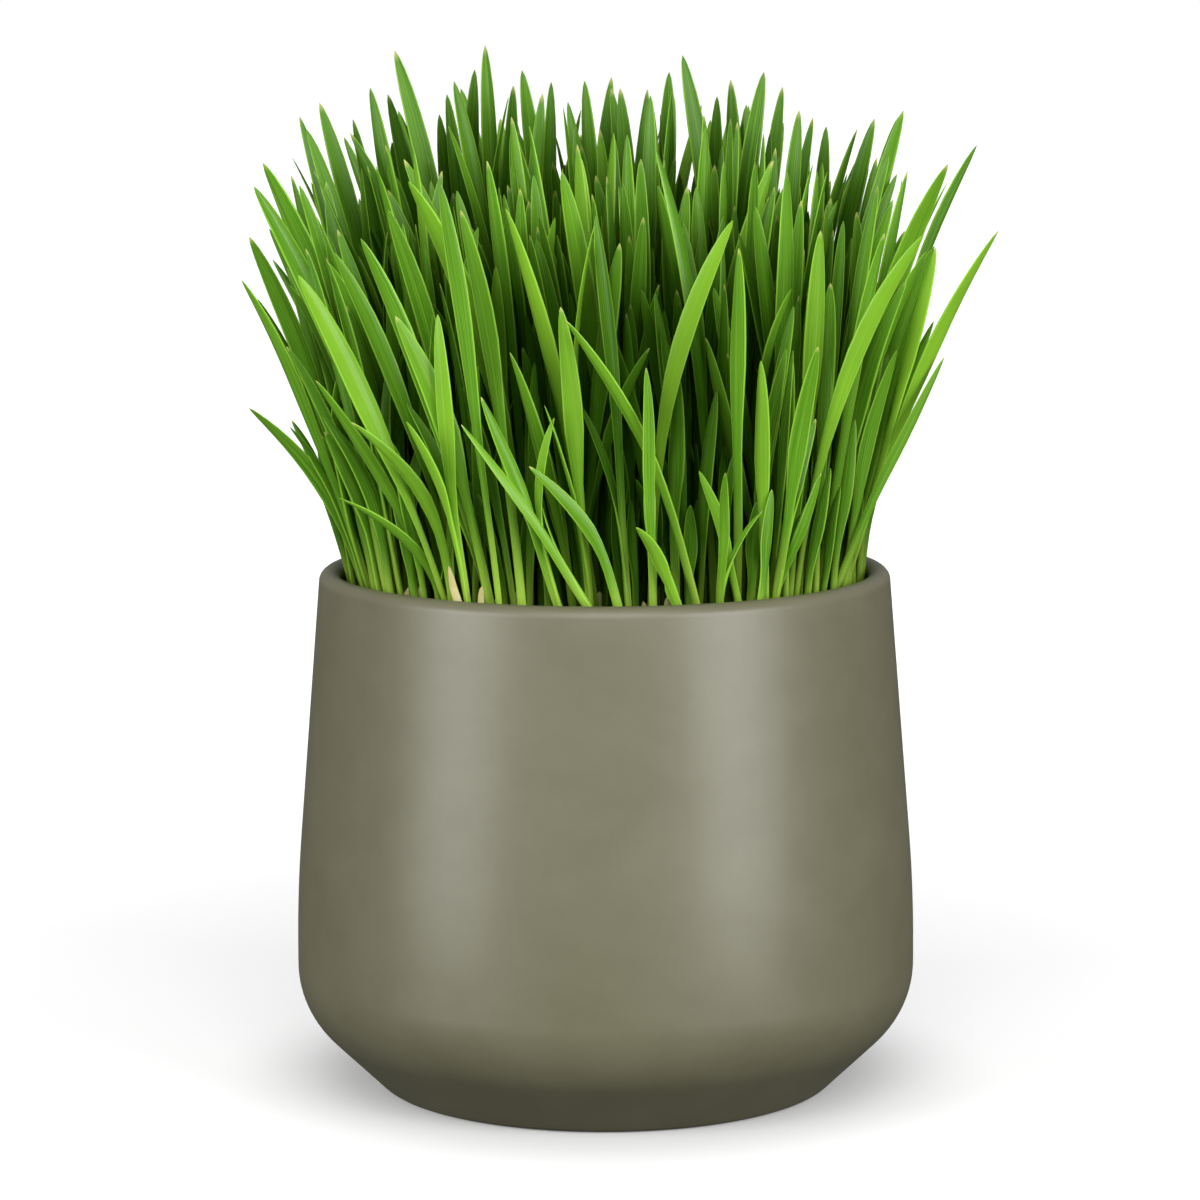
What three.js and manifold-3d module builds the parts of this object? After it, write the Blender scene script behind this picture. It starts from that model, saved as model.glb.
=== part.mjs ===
// A pot of cat grass: young barley sown thickly in a matte ceramic pot.
// Millimetres, +Z up. The origin is the middle of the pot's flat base.

import * as THREE from 'three';
import { mergeVertices } from 'three/addons/utils/BufferGeometryUtils.js';
import Module from 'manifold-3d';

const wasm = await Module();
wasm.setup();

const degree = Math.PI / 180;

// Driving dimensions of the pot
const pot = {
  height: 105.1,
  baseRadius: 45.3,
  widestRadius: 62.5,
  shoulderRadius: 19.4,   // the turn from the foot chamfer into the wall
  chamferAngle: 44,       // degrees from the horizontal
  wallFootHeight: 28,     // the wall is upright here
  wallBendHeight: 51,     // and straight above here
  wallLean: 4.58,         // degrees inwards above the bend
  wallThickness: 4.5,
  rimRadius: 2.25,        // the rim is fully rounded
  floorThickness: 6,
  edgeRounding: 0.8,
  segments: 56,
};

// Soil and the root balls that stand in pockets in it
const soil = {
  level: 98,              // about 7 mm under the rim
  gap: 0.3,               // to the pot and to the root balls
  pocketWall: 0.8,        // soil left between two pockets
  cutAbove: 5,            // the pockets' cutters reach this far above the soil
  segments: 40,
};

const rootBall = {
  bottom: 84,
  top: 98.6,
  rootInset: 2.3,         // stems keep this far inside the edge of their root ball
  ringGap: 1.4,
  rings: [
    { inner: 0, outer: 10.3, count: 1, start: -90, curveSegments: 6 },
    { inner: 11.7, outer: 30.3, count: 6, start: -120, curveSegments: 3 },
    { inner: 31.7, outer: 50.8, count: 12, start: -105, curveSegments: 2 },
  ],
};

// Leaves: a stem at the foot that opens into a flat blade and ends in a point
const leaf = {
  stemHalfWidth: 1.1,
  openFrom: 0.05,         // shares of the height where the blade opens
  widestAt: 0.66,
  tipPower: 2.6,
  stemThickness: 1.5,
  bladeThickness: 0.7,
  thinAt: 0.6,
  bendPower: 3,
  sunk: 4,                // how deep the stem goes into the root ball
  ringsAt: [0.3, 0.6, 0.84],
  extraRingAt: 0.93,      // on the leaves placed by hand
};

// Spacing: no leaf crosses another, tested on level cuts through the grass
const spacing = {
  levelStep: 3,
  levels: 38,
  gap: 0.35,
  thicknessShare: 1.2,
  attempts: 30,
  sown: 1500,             // seeds tried; those with no clear place don't grow
  rimClearance: 1.1,
};

// The eye of someone in front of the pot: leaves placed by hand may slide along its sight lines
const eye = { y: -900, z: 228.4 };
const tipSlides = [0, -1.5, 1.5, -3, 3, -4.5, 4.5, -6, 6, -8, 8, -10, 10];
const rootSlides = [0, 1.5, -1.5, 3, -3, 4.5];
const rootSteps = [0, 1.5, -1.5, 3, -3];  // to the side
const forwardLean = 0.36;  // a full-height tip in front comes forward by this share of the root's place

// Leaves that give the grass its outline and its front, placed by hand:
// root x and y, tip x, y and z, width, bend (0 is straight, 1 bends only near the tip)
const placedLeaves = [
  // The front row, left to right
  [-47, -13, -69.5, -18, 139.5, 4.8, 0.5],
  [-47.5, -9, -62, -14, 135, 3.2, 0.5],
  [-45.5, -17.5, -70, -22, 165, 4.0, 0.2],
  [-34.5, -35, -51, -41, 123.5, 3.8, 1.0],
  [-35.5, -32, -51, -38, 153.5, 4.8, 0.5],
  [-33, -36, -55, -44, 147, 4.4, 0.15],
  [-30, -38.5, -48, -46, 138.5, 4.4, 0.9],
  [-26.5, -41, -31.8, -43, 159.5, 4.6, -0.3],
  [0.5, -47, -26.5, -51, 139.5, 3.4, 0.05],
  [-7, -46.5, -23, -48, 144.2, 4.2, 0.1],
  [4, -46.8, -14, -49, 131, 4.4, 0.6],
  [-5.5, -42.5, -18.8, -44, 151.5, 5.0, 0.45],
  [-2.5, -45, -8.3, -46, 161, 5.0, 0.2],
  [19, -43.5, -7.5, -50, 158.5, 3.4, 0.45],
  [10.8, -45.5, 8.3, -45, 149, 3.6, 0.1],
  [13.8, -47, 6, -49, 119.7, 4.6, 0.4],
  [8.5, -43.5, 24.4, -42, 177, 4.4, 0.85],
  [27, -40.5, 18.3, -46, 129.3, 3.8, 0.3],
  [22, -42.5, 23.3, -44, 129.5, 3.6, 0.3],
  [31.3, -37.5, 30, -40, 150.3, 4.6, 0],
  [36.5, -31.5, 61, -38, 174, 4.2, 0.6],
  [34, -34.5, 41.7, -40, 128, 3.2, 0],
  [46.5, -15.5, 77, -22, 173.5, 4.6, 0.3],
  [44, -22, 66.3, -26, 149.3, 3.4, 0.1],
  [-25, -38, -24.2, -40, 149.5, 3.2, 0],
  [-12, -43.5, -13.3, -40, 150, 3.4, 0],
  // The tall leaves behind the front row
  [-1, -41, -19.3, -42, 179, 4.8, 0.35],
  [-12, -40, -37, -42, 184.8, 6.2, 0.6],
  [-15, -43, -27.3, -38, 179, 4.6, 0.4],
  [-14, -35, -22.3, -30, 188, 3.8, 0.3],
  [-24, -35, -41.2, -36, 179.3, 4.8, 0.4],
  [-21, -37, -46.4, -38, 173.6, 4.2, 0.25],
  [-27, -35, -51.5, -38, 171, 4.2, 0.25],
  [-29, -37, -58.2, -40, 166.8, 4.4, 0.2],
  [-21, -41, -39.5, -44, 159.2, 4.6, 0.4],
  [-25, -30, -37.5, -34, 165.7, 3.8, 0.3],
  [-29, -26, -34.7, -28, 171.7, 3.4, 0.2],
  [-17, -38, -20.8, -36, 168, 4.2, 0.1],
  [-14, -24, -16, -22, 182.4, 3.8, 0.2],
  [-9, -22, -13.6, -20, 184.7, 3.8, 0.2],
  [3, -38.5, -8, -38, 186.3, 5.0, 0.45],
  [0, -34, -12.5, -33, 170, 3.4, 0.2],
  [-6, -38, 3, -38, 172.6, 4.6, 0.1],
  [14, -39.5, 0.5, -40, 156.5, 4.2, 0.2],
  [6, -36, 4, -36, 159, 3.6, 0.1],
  [17, -39, 10.7, -36, 162.8, 3.8, 0],
  [31, -32.5, 18.9, -40, 154.2, 4.2, 0.1],
  [33, -29, 21.2, -36, 163.5, 4.2, 0.2],
  [25.5, -38, 25.7, -37, 171.5, 4.2, 0],
  [45.5, -18, 57, -35, 165, 5.4, 0.6],
  [46, -11, 64.1, -20, 166.3, 4.4, 0.1],
  [47, -7, 64.8, -14, 155.5, 3.2, 0.2],
  [45, -4.5, 66.5, -24, 187, 6.0, 0.5],
  [46, -0.5, 61, -8, 184.2, 3.8, 0.3],
  [43, -13, 62.5, -22, 170, 4.4, 0.4],
  [37, -30.5, 41.7, -34, 174.6, 5.4, 0],
  [36, -33, 40.8, -38, 153, 3.6, 0.1],
  [41, -16, 56, -22, 179.7, 3.8, 0.3],
  [42, -22.5, 54, -27, 173.8, 3.6, 0.2],
  [33, -24, 38.3, -22, 179.7, 3.8, 0.2],
  [33, -28, 35.8, -30, 185.8, 4.2, 0.1],
  [35, -26, 29.2, -28, 178.8, 4.0, 0.1],
  [17, -24, 33.5, -16, 187, 4.4, 0.6],
  [40, -26, 43.9, -28, 164.3, 4.2, 0.1],
  [3, -29, 7.7, -30, 177, 4.0, 0.2],
  [18, -33, 7.2, -34, 163.8, 3.8, 0.2],
  [20, -25, 10.7, -24, 183, 4.2, 0.3],
  [9, -23, 3.2, -24, 183, 4.0, 0.2],
  // The left edge
  [-47, -4, -69, -20, 173, 4.8, 0.3],
  [-39, -20, -68.3, -18, 182.5, 5.2, 0.45],
  [-43, -5.5, -66.8, -8, 187, 5.0, 0.5],
  [-46, 4, -63, 2, 183.5, 3.8, 0.3],
  [-40, -14, -59.7, -12, 182.5, 3.6, 0.3],
  // The tips along the skyline, left to right
  [-44, 13, -61.8, 16, 194.7, 4.4, 0.4],
  [-41, 8, -59.3, 10, 192.5, 4.2, 0.5],
  [-40, 20, -57.6, 22, 197.4, 4.6, 0.4],
  [-38, 27, -51.3, 26, 193.9, 4.2, 0.3],
  [-34, 17, -48, 20, 200.3, 4.8, 0.4],
  [-30, 24, -43.7, 24, 199, 4.2, 0.4],
  [-27, 13, -42.2, 22, 207.9, 4.8, 0.5],
  [-26, 32, -33.6, 30, 194.7, 4.2, 0.2],
  [-24, 26, -32.2, 27, 198.8, 4.2, 0.3],
  [-18, 22, -30.4, 20, 201.7, 4.2, 0.5],
  [-33, 33, -26.3, 30, 203.8, 4.2, 0.2],
  [-20, 26, -24.3, 26, 208.8, 4.4, 0.3],
  [-22, 29, -18.4, 32, 200.5, 4.0, 0.3],
  [-8, 24, -16.5, 24, 203.8, 4.6, 0.4],
  [-19, 18, -12.3, 18, 199.2, 4.0, 0.3],
  [-11, 33, -10.8, 34, 201.1, 3.6, 0.2],
  [2, 20, -7, 20, 197.5, 4.4, 0.4],
  [0, 28, -3.6, 28, 201.5, 4.4, 0.3],
  [-6, 29, 1.8, 34, 202, 4.0, 0.3],
  [9, 26, 3.4, 26, 200, 4.4, 0.4],
  [3, 24, 9.2, 22, 199.9, 4.0, 0.3],
  [9, 33, 13.6, 32, 203.1, 4.6, 0.3],
  [27, 22, 16.5, 24, 206.8, 5.2, 0.5],
  [21, 29, 23.4, 30, 198.2, 4.2, 0.2],
  [29, 26, 25.6, 26, 201.6, 4.8, 0.3],
  [24, 18, 32.6, 20, 203.4, 4.8, 0.4],
  [28, 33, 36.6, 30, 200.1, 4.4, 0.3],
  [33, 13, 39.6, 14, 195.9, 4.4, 0.3],
  [41, 21, 45.2, 22, 192.3, 4.2, 0.2],
  [35, 15, 51.3, 16, 192, 4.4, 0.5],
  [40, 17, 55.1, 20, 193.9, 4.8, 0.5],
  [43, 9, 59.5, 12, 194.6, 4.4, 0.4],
  [37, 30, 40.9, 32, 188.6, 4.2, 0.2],
];

// What the rest of the grass is like
const sward = {
  seed: 4100,
  tipHeight: 182,
  backRise: 9,            // the back stands taller than the front
  heightSpread: 24,
  edgeDrop: 9,            // and the edge lower than the middle
  shortShare: 0.13,
  shortHeight: [122, 152],
  lowestTip: 118,
  highestTip: 206,
  outwardLean: 15,
  leanSpread: 13,
  sidewaysDrift: -4,
  width: [3.2, 5.2],
  shortWidthShare: 0.75,
  bend: [0.1, 0.8],
  facingSpread: 60,       // degrees either side of facing outwards
  placedFacingSpread: 28,
};

// Grains that lie on the outer root balls
const grain = {
  length: 7.5,
  halfWidth: 1.6,
  halfHeight: 1.3,
  lift: 0.5,
  perRootBall: 2,
  insideEdge: 5.5,
  sideShare: 0.25,
  seed: 7300,
};

const material = {
  pot: new THREE.MeshStandardMaterial({ color: 0x87846b, roughness: 0.55, metalness: 0 }),
  soil: new THREE.MeshStandardMaterial({ color: 0x3a2616, roughness: 1, metalness: 0 }),
  grass: new THREE.MeshStandardMaterial({ color: 0x5f9a2a, roughness: 0.5, metalness: 0 }),
};

// Small helpers

function seededRandom(seed) {
  let state = seed >>> 0;
  return () => {
    state = (state + 0x6d2b79f5) >>> 0;
    let mixed = state;
    mixed = Math.imul(mixed ^ (mixed >>> 15), mixed | 1);
    mixed ^= mixed + Math.imul(mixed ^ (mixed >>> 7), mixed | 61);
    return ((mixed ^ (mixed >>> 14)) >>> 0) / 4294967296;
  };
}

function mix(from, to, share) {
  return from + (to - from) * share;
}

function clamp(value, low, high) {
  return Math.min(Math.max(value, low), high);
}

function smoothStep(from, to, value) {
  const share = clamp((value - from) / (to - from), 0, 1);
  return share * share * (3 - 2 * share);
}

function arcPoints(x, z, radius, fromAngle, toAngle, steps) {
  return Array.from({ length: steps + 1 }, (unused, step) => {
    const angle = mix(fromAngle, toAngle, step / steps) * degree;
    return new THREE.Vector2(x + radius * Math.cos(angle), z + radius * Math.sin(angle));
  });
}

// A LatheGeometry turns about Y, so the turned piece is stood up along Z
function turned(profile, segments) {
  const geometry = new THREE.LatheGeometry(profile, segments);
  geometry.rotateX(Math.PI / 2);
  return geometry;
}

function toSolid(geometry) {
  const plain = geometry.clone();
  plain.deleteAttribute('normal');
  plain.deleteAttribute('uv');
  const merged = mergeVertices(plain, 1e-4);
  return new wasm.Manifold(new wasm.Mesh({
    numProp: 3,
    vertProperties: new Float32Array(merged.attributes.position.array),
    triVerts: new Uint32Array(merged.index.array),
  }));
}

function toGeometry(solid) {
  const mesh = solid.getMesh();
  const geometry = new THREE.BufferGeometry();
  geometry.setAttribute('position', new THREE.BufferAttribute(new Float32Array(mesh.vertProperties), 3));
  geometry.setIndex(new THREE.BufferAttribute(new Uint32Array(mesh.triVerts), 1));
  geometry.computeVertexNormals();
  return geometry;
}

// The pot's wall

const chamferRise = 90 - pot.chamferAngle;
const shoulderX = pot.widestRadius - pot.shoulderRadius;
const chamferTopX = shoulderX + pot.shoulderRadius * Math.cos(chamferRise * degree);
const chamferTopZ = (chamferTopX - pot.baseRadius) * Math.tan(pot.chamferAngle * degree);
const shoulderZ = chamferTopZ + pot.shoulderRadius * Math.sin(chamferRise * degree);
const wallArcRadius = (pot.wallBendHeight - pot.wallFootHeight) / Math.sin(pot.wallLean * degree);
const rimCentreZ = pot.height - pot.rimRadius;
const bendX = pot.widestRadius - wallArcRadius * (1 - Math.cos(pot.wallLean * degree));
const rimX = bendX - (rimCentreZ - pot.wallBendHeight) * Math.tan(pot.wallLean * degree);

// The curved middle of the wall, moved inwards by an inset
function wallCurve(inset, steps) {
  const radius = wallArcRadius - inset;
  return arcPoints(pot.widestRadius - wallArcRadius, pot.wallFootHeight, radius, 0, pot.wallLean, steps);
}

// The hollow of the pot from the floor's middle up to a height, moved inwards by a gap
function hollowProfile(gap, topZ) {
  const inset = pot.wallThickness + gap;
  const floorZ = pot.floorThickness + gap;
  const shoulder = arcPoints(shoulderX, shoulderZ, pot.shoulderRadius - inset, -chamferRise, 0, 3);
  const floorX = shoulder[0].x - (shoulder[0].y - floorZ) / Math.tan(pot.chamferAngle * degree);
  const topX = rimX - inset + (rimCentreZ - topZ) * Math.tan(pot.wallLean * degree);
  return [
    new THREE.Vector2(0, floorZ),
    new THREE.Vector2(floorX, floorZ),
    ...shoulder,
    ...wallCurve(inset, 1),
    new THREE.Vector2(topX, topZ),
  ];
}

function makePot() {
  const rounding = pot.edgeRounding;
  const inner = hollowProfile(0, rimCentreZ);
  const profile = [
    new THREE.Vector2(0, 0),
    new THREE.Vector2(pot.baseRadius - rounding, 0),
    new THREE.Vector2(pot.baseRadius + rounding, rounding),
    ...arcPoints(shoulderX, shoulderZ, pot.shoulderRadius, -chamferRise, 0, 4),
    ...wallCurve(0, 2),
    ...arcPoints(rimX - pot.rimRadius, rimCentreZ, pot.rimRadius, 0, 180, 6),
    ...inner.reverse().slice(1),
  ];
  return turned(profile, pot.segments);
}

// Root balls: a disc in the middle and two rings of sectors

const rootBalls = rootBall.rings.flatMap((ring) => {
  const sweep = 360 / ring.count;
  return Array.from({ length: ring.count }, (unused, index) => ({
    inner: ring.inner,
    outer: ring.outer,
    whole: ring.count === 1,
    curveSegments: ring.curveSegments,
    from: (ring.start + sweep * index) * degree,
    to: (ring.start + sweep * (index + 1)) * degree,
  }));
});

const halfSplit = soil.pocketWall / 2 + soil.gap;
const grassRadius = rootBalls.at(-1).outer;

function rootBallShape(ball, grow) {
  const shape = new THREE.Shape();
  const outer = ball.outer + grow;
  const edge = halfSplit - grow;
  if (ball.whole) {
    shape.absarc(0, 0, outer, 0, 2 * Math.PI, false);
    return shape;
  }
  const inner = ball.inner - grow;
  shape.absarc(0, 0, outer, ball.from + edge / outer, ball.to - edge / outer, false);
  shape.absarc(0, 0, inner, ball.to - edge / inner, ball.from + edge / inner, true);
  shape.closePath();
  return shape;
}

function rootBallPrism(ball, grow, bottom, top) {
  const settings = { depth: top - bottom, bevelEnabled: false, curveSegments: ball.curveSegments };
  const geometry = new THREE.ExtrudeGeometry(rootBallShape(ball, grow), settings);
  geometry.translate(0, 0, bottom);
  return geometry;
}

function makeSoil() {
  const profile = hollowProfile(soil.gap, soil.level);
  profile.push(new THREE.Vector2(0, soil.level));
  let solid = toSolid(turned(profile, soil.segments));
  for (const ball of rootBalls) {
    const pocket = rootBallPrism(ball, soil.gap, rootBall.bottom - soil.gap, soil.level + soil.cutAbove);
    solid = solid.subtract(toSolid(pocket));
  }
  return toGeometry(solid);
}

// The nearest place for a root that lies well inside a root ball
function settleRoot(x, y) {
  const reach = Math.hypot(x, y);
  const ball = rootBalls.find((candidate) => {
    const angle = Math.atan2(y, x);
    const turn = ((angle - candidate.from) % (2 * Math.PI) + 2 * Math.PI) % (2 * Math.PI);
    const inRing = reach < candidate.outer + rootBall.ringGap / 2 || candidate.outer === grassRadius;
    return inRing && (candidate.whole || turn <= candidate.to - candidate.from);
  });
  const index = rootBalls.indexOf(ball);
  const inset = rootBall.rootInset;
  const radius = ball.whole
    ? Math.min(reach, ball.outer - inset)
    : clamp(reach, ball.inner + inset, ball.outer - inset);
  if (ball.whole) {
    const share = reach > 0 ? radius / reach : 0;
    return { x: x * share, y: y * share, index };
  }
  const angle = Math.atan2(y, x);
  const turn = ((angle - ball.from) % (2 * Math.PI) + 2 * Math.PI) % (2 * Math.PI);
  const margin = (halfSplit + inset) / radius;
  const settled = ball.from + clamp(turn, margin, ball.to - ball.from - margin);
  return { x: radius * Math.cos(settled), y: radius * Math.sin(settled), index };
}

// Leaf shape

function leafCentre(blade, share) {
  const bent = (1 - blade.bend) * share + blade.bend * share ** leaf.bendPower;
  return new THREE.Vector3(
    mix(blade.rootX, blade.tipX, bent),
    mix(blade.rootY, blade.tipY, bent),
    mix(soil.level, blade.tipZ, share),
  );
}

function leafDirection(blade, share) {
  const slope = 1 - blade.bend + blade.bend * leaf.bendPower * share ** (leaf.bendPower - 1);
  return new THREE.Vector3(
    (blade.tipX - blade.rootX) * slope,
    (blade.tipY - blade.rootY) * slope,
    blade.tipZ - soil.level,
  ).normalize();
}

function leafHalfWidth(blade, share) {
  const full = blade.width / 2;
  if (share < leaf.widestAt) {
    return mix(leaf.stemHalfWidth, full, smoothStep(leaf.openFrom, leaf.widestAt, share));
  }
  const past = (share - leaf.widestAt) / (1 - leaf.widestAt);
  return full * (1 - past ** leaf.tipPower);
}

function leafThickness(share) {
  return mix(leaf.stemThickness, leaf.bladeThickness, smoothStep(0, leaf.thinAt, share));
}

// Level cuts of a leaf: on each level one straight line across the blade
function leafCuts(blade) {
  const cuts = [];
  const sideX = -Math.sin(blade.facing);
  const sideY = Math.cos(blade.facing);
  for (let level = 0; level < spacing.levels; level += 1) {
    const share = (level * spacing.levelStep) / (blade.tipZ - soil.level);
    if (share > 1) break;
    const centre = leafCentre(blade, share);
    const along = leafDirection(blade, share);
    const slant = Math.sqrt(1 - (along.x * sideX + along.y * sideY) ** 2);
    const half = leafHalfWidth(blade, share) / slant;
    const clear = leafThickness(share) * spacing.thicknessShare + spacing.gap;
    cuts.push({
      x: centre.x,
      y: centre.y,
      half,
      clear,
      fromX: centre.x - sideX * half,
      fromY: centre.y - sideY * half,
      toX: centre.x + sideX * half,
      toY: centre.y + sideY * half,
    });
  }
  return cuts;
}

function pointToCut(x, y, cut) {
  const alongX = cut.toX - cut.fromX;
  const alongY = cut.toY - cut.fromY;
  const length = alongX * alongX + alongY * alongY;
  const share = length > 0 ? clamp(((x - cut.fromX) * alongX + (y - cut.fromY) * alongY) / length, 0, 1) : 0;
  return Math.hypot(x - cut.fromX - alongX * share, y - cut.fromY - alongY * share);
}

function sideOfCut(x, y, cut) {
  return (cut.toX - cut.fromX) * (y - cut.fromY) - (cut.toY - cut.fromY) * (x - cut.fromX);
}

function cutDistance(first, second) {
  const secondFrom = sideOfCut(second.fromX, second.fromY, first);
  const secondTo = sideOfCut(second.toX, second.toY, first);
  const firstFrom = sideOfCut(first.fromX, first.fromY, second);
  const firstTo = sideOfCut(first.toX, first.toY, second);
  if (secondFrom * secondTo < 0 && firstFrom * firstTo < 0) return 0;
  return Math.min(
    pointToCut(first.fromX, first.fromY, second),
    pointToCut(first.toX, first.toY, second),
    pointToCut(second.fromX, second.fromY, first),
    pointToCut(second.toX, second.toY, first),
  );
}

function cutsAreClear(cuts, others) {
  return others.every((other) => cuts.every((cut, level) => {
    const facingCut = other[level];
    if (!facingCut) return true;
    const reach = cut.half + facingCut.half + cut.clear;
    if (Math.hypot(cut.x - facingCut.x, cut.y - facingCut.y) > reach) return true;
    return cutDistance(cut, facingCut) >= cut.clear;
  }));
}

// Below the rim a leaf stays clear of the pot's wall
const mouthRadius = rimX - pot.wallThickness - spacing.rimClearance;

function isInsideRim(cuts) {
  const lowCuts = cuts.filter((unused, level) => soil.level + level * spacing.levelStep < pot.height);
  return lowCuts.every((cut) => Math.hypot(cut.fromX, cut.fromY) < mouthRadius
    && Math.hypot(cut.toX, cut.toY) < mouthRadius);
}

// A point moved along the sight line through it, so that it looks the same from the front
function slide(x, y, z, depth) {
  const share = (y + depth - eye.y) / (y - eye.y);
  return { x: x * share, y: y + depth, z: eye.z + (z - eye.z) * share };
}

function* placedCandidates(row, index) {
  const [rootX, rootY, tipX, tipY, tipZ, width, bend] = row;
  const draw = seededRandom(sward.seed - 1 - index);
  const turn = (draw() + draw() - 1) * sward.placedFacingSpread * degree;
  const tall = (tipZ - soil.level) / (sward.tipHeight - soil.level);
  const forward = Math.min(rootY, 0) * forwardLean * tall;
  for (const rootStep of rootSteps) {
    for (const rootSlide of rootSlides) {
      const root = slide(rootX + rootStep, rootY, soil.level, rootSlide);
      const settled = settleRoot(root.x, root.y);
      for (const tipSlide of tipSlides) {
        const tip = slide(tipX, tipY, tipZ, forward + tipSlide);
        yield {
          rootX: settled.x, rootY: settled.y, ball: settled.index,
          tipX: tip.x, tipY: tip.y, tipZ: tip.z,
          width, bend, facing: -Math.PI / 2 + turn, placed: true,
        };
      }
    }
  }
}

function* sownCandidates(index) {
  const draw = seededRandom(sward.seed + index);
  const spread = () => draw() + draw() - 1;
  const ball = rootBalls[index % rootBalls.length];
  for (let attempt = 0; attempt < spacing.attempts; attempt += 1) {
    const reach = Math.sqrt(mix(ball.inner ** 2, ball.outer ** 2, draw()));
    const angle = mix(ball.from, ball.to, draw());
    const root = settleRoot(reach * Math.cos(angle), reach * Math.sin(angle));
    const edge = Math.hypot(root.x, root.y) / grassRadius;
    const outward = Math.atan2(root.y, root.x);
    const lean = sward.outwardLean * edge;
    const grown = sward.tipHeight + sward.backRise * root.y / grassRadius
      + sward.heightSpread * spread() - sward.edgeDrop * edge ** 4;
    const short = mix(sward.shortHeight[0], sward.shortHeight[1], draw());
    const tipZ = clamp(draw() < sward.shortShare ? short : grown, sward.lowestTip, sward.highestTip);
    const tall = (tipZ - soil.level) / (sward.tipHeight - soil.level);
    yield {
      rootX: root.x, rootY: root.y, ball: root.index,
      tipX: root.x + (lean * Math.cos(outward) + sward.leanSpread * spread() + sward.sidewaysDrift) * tall,
      tipY: root.y + (lean * Math.sin(outward) + sward.leanSpread * spread()) * tall,
      tipZ,
      width: mix(sward.width[0], sward.width[1], draw())
        * mix(sward.shortWidthShare, 1, Math.min(tall, 1)),
      bend: mix(sward.bend[0], sward.bend[1], draw()),
      facing: outward + spread() * sward.facingSpread * degree,
      placed: false,
    };
  }
}

function growLeaves() {
  const leaves = [];
  const cuts = [];
  for (let index = 0; index < spacing.sown; index += 1) {
    const row = placedLeaves[index];
    const candidates = row ? placedCandidates(row, index) : sownCandidates(index);
    for (const blade of candidates) {
      const bladeCuts = leafCuts(blade);
      if (isInsideRim(bladeCuts) && cutsAreClear(bladeCuts, cuts)) {
        leaves.push(blade);
        cuts.push(bladeCuts);
        break;
      }
    }
  }
  return leaves;
}

// A leaf's solid: three-sided rings, flat on the side that it faces and keeled on its back
function leafGeometry(blade) {
  const shares = blade.placed ? [...leaf.ringsAt, leaf.extraRingAt] : leaf.ringsAt;
  const tall = blade.tipZ - soil.level;
  const rings = [-leaf.sunk / tall, ...shares];
  const positions = [];
  for (const share of rings) {
    const centre = leafCentre(blade, Math.max(share, 0));
    const along = leafDirection(blade, Math.max(share, 0));
    if (share < 0) centre.z += share * tall;
    const side = new THREE.Vector3(-Math.sin(blade.facing), Math.cos(blade.facing), 0);
    side.addScaledVector(along, -side.dot(along)).normalize();
    const face = new THREE.Vector3().crossVectors(along, side).normalize();
    const half = leafHalfWidth(blade, Math.max(share, 0));
    const thick = leafThickness(Math.max(share, 0));
    const flat = centre.clone().addScaledVector(face, -thick / 3);
    const keel = centre.clone().addScaledVector(face, 2 * thick / 3);
    positions.push(...flat.clone().addScaledVector(side, -half).toArray());
    positions.push(...flat.clone().addScaledVector(side, half).toArray());
    positions.push(...keel.toArray());
  }
  positions.push(...leafCentre(blade, 1).toArray());
  const apex = rings.length * 3;
  const faces = [0, 2, 1];
  for (let ring = 0; ring + 1 < rings.length; ring += 1) {
    for (let corner = 0; corner < 3; corner += 1) {
      const here = ring * 3 + corner;
      const next = ring * 3 + (corner + 1) % 3;
      faces.push(here, next, next + 3, here, next + 3, here + 3);
    }
  }
  for (let corner = 0; corner < 3; corner += 1) {
    faces.push(apex - 3 + corner, apex - 3 + (corner + 1) % 3, apex);
  }
  const geometry = new THREE.BufferGeometry();
  geometry.setAttribute('position', new THREE.Float32BufferAttribute(positions, 3));
  geometry.setIndex(faces);
  return geometry;
}

// Barley grains lie half sunk in the root balls near the rim
function grainGeometry(x, y, turn) {
  const geometry = new THREE.OctahedronGeometry(1, 0);
  geometry.scale(grain.length / 2, grain.halfWidth, grain.halfHeight);
  geometry.rotateZ(turn);
  geometry.translate(x, y, rootBall.top + grain.lift);
  return geometry;
}

function grainsOf(ball, ballIndex) {
  if (ball.outer < grassRadius) return [];
  const draw = seededRandom(grain.seed + ballIndex);
  return Array.from({ length: grain.perRootBall }, () => {
    const reach = mix(ball.inner + grain.insideEdge, ball.outer - grain.insideEdge, draw());
    const angle = mix(ball.from, ball.to, mix(grain.sideShare, 1 - grain.sideShare, draw()));
    return grainGeometry(reach * Math.cos(angle), reach * Math.sin(angle), draw() * Math.PI);
  });
}

function makeTuft(ball, ballIndex, leaves) {
  const pieces = [
    rootBallPrism(ball, 0, rootBall.bottom, rootBall.top),
    ...grainsOf(ball, ballIndex),
    ...leaves.filter((blade) => blade.ball === ballIndex).map(leafGeometry),
  ];
  return toGeometry(wasm.Manifold.union(pieces.map(toSolid)));
}

// The assembly

const assembly = new THREE.Group();

function addPiece(name, geometry, pieceMaterial) {
  const mesh = new THREE.Mesh(geometry, pieceMaterial);
  mesh.name = name;
  assembly.add(mesh);
}

addPiece('pot', makePot(), material.pot);
addPiece('soil', makeSoil(), material.soil);
const grownLeaves = growLeaves();
rootBalls.forEach((ball, index) => {
  const name = `tuft_${String(index + 1).padStart(2, '0')}`;
  addPiece(name, makeTuft(ball, index, grownLeaves), material.grass);
});

export default assembly;
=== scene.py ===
# Potted cat grass: young barley sown thickly in a satin-glazed pot.
# Lengths in the dictionaries are millimetres, angles degrees; the objects are built in metres.

import math

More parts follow.
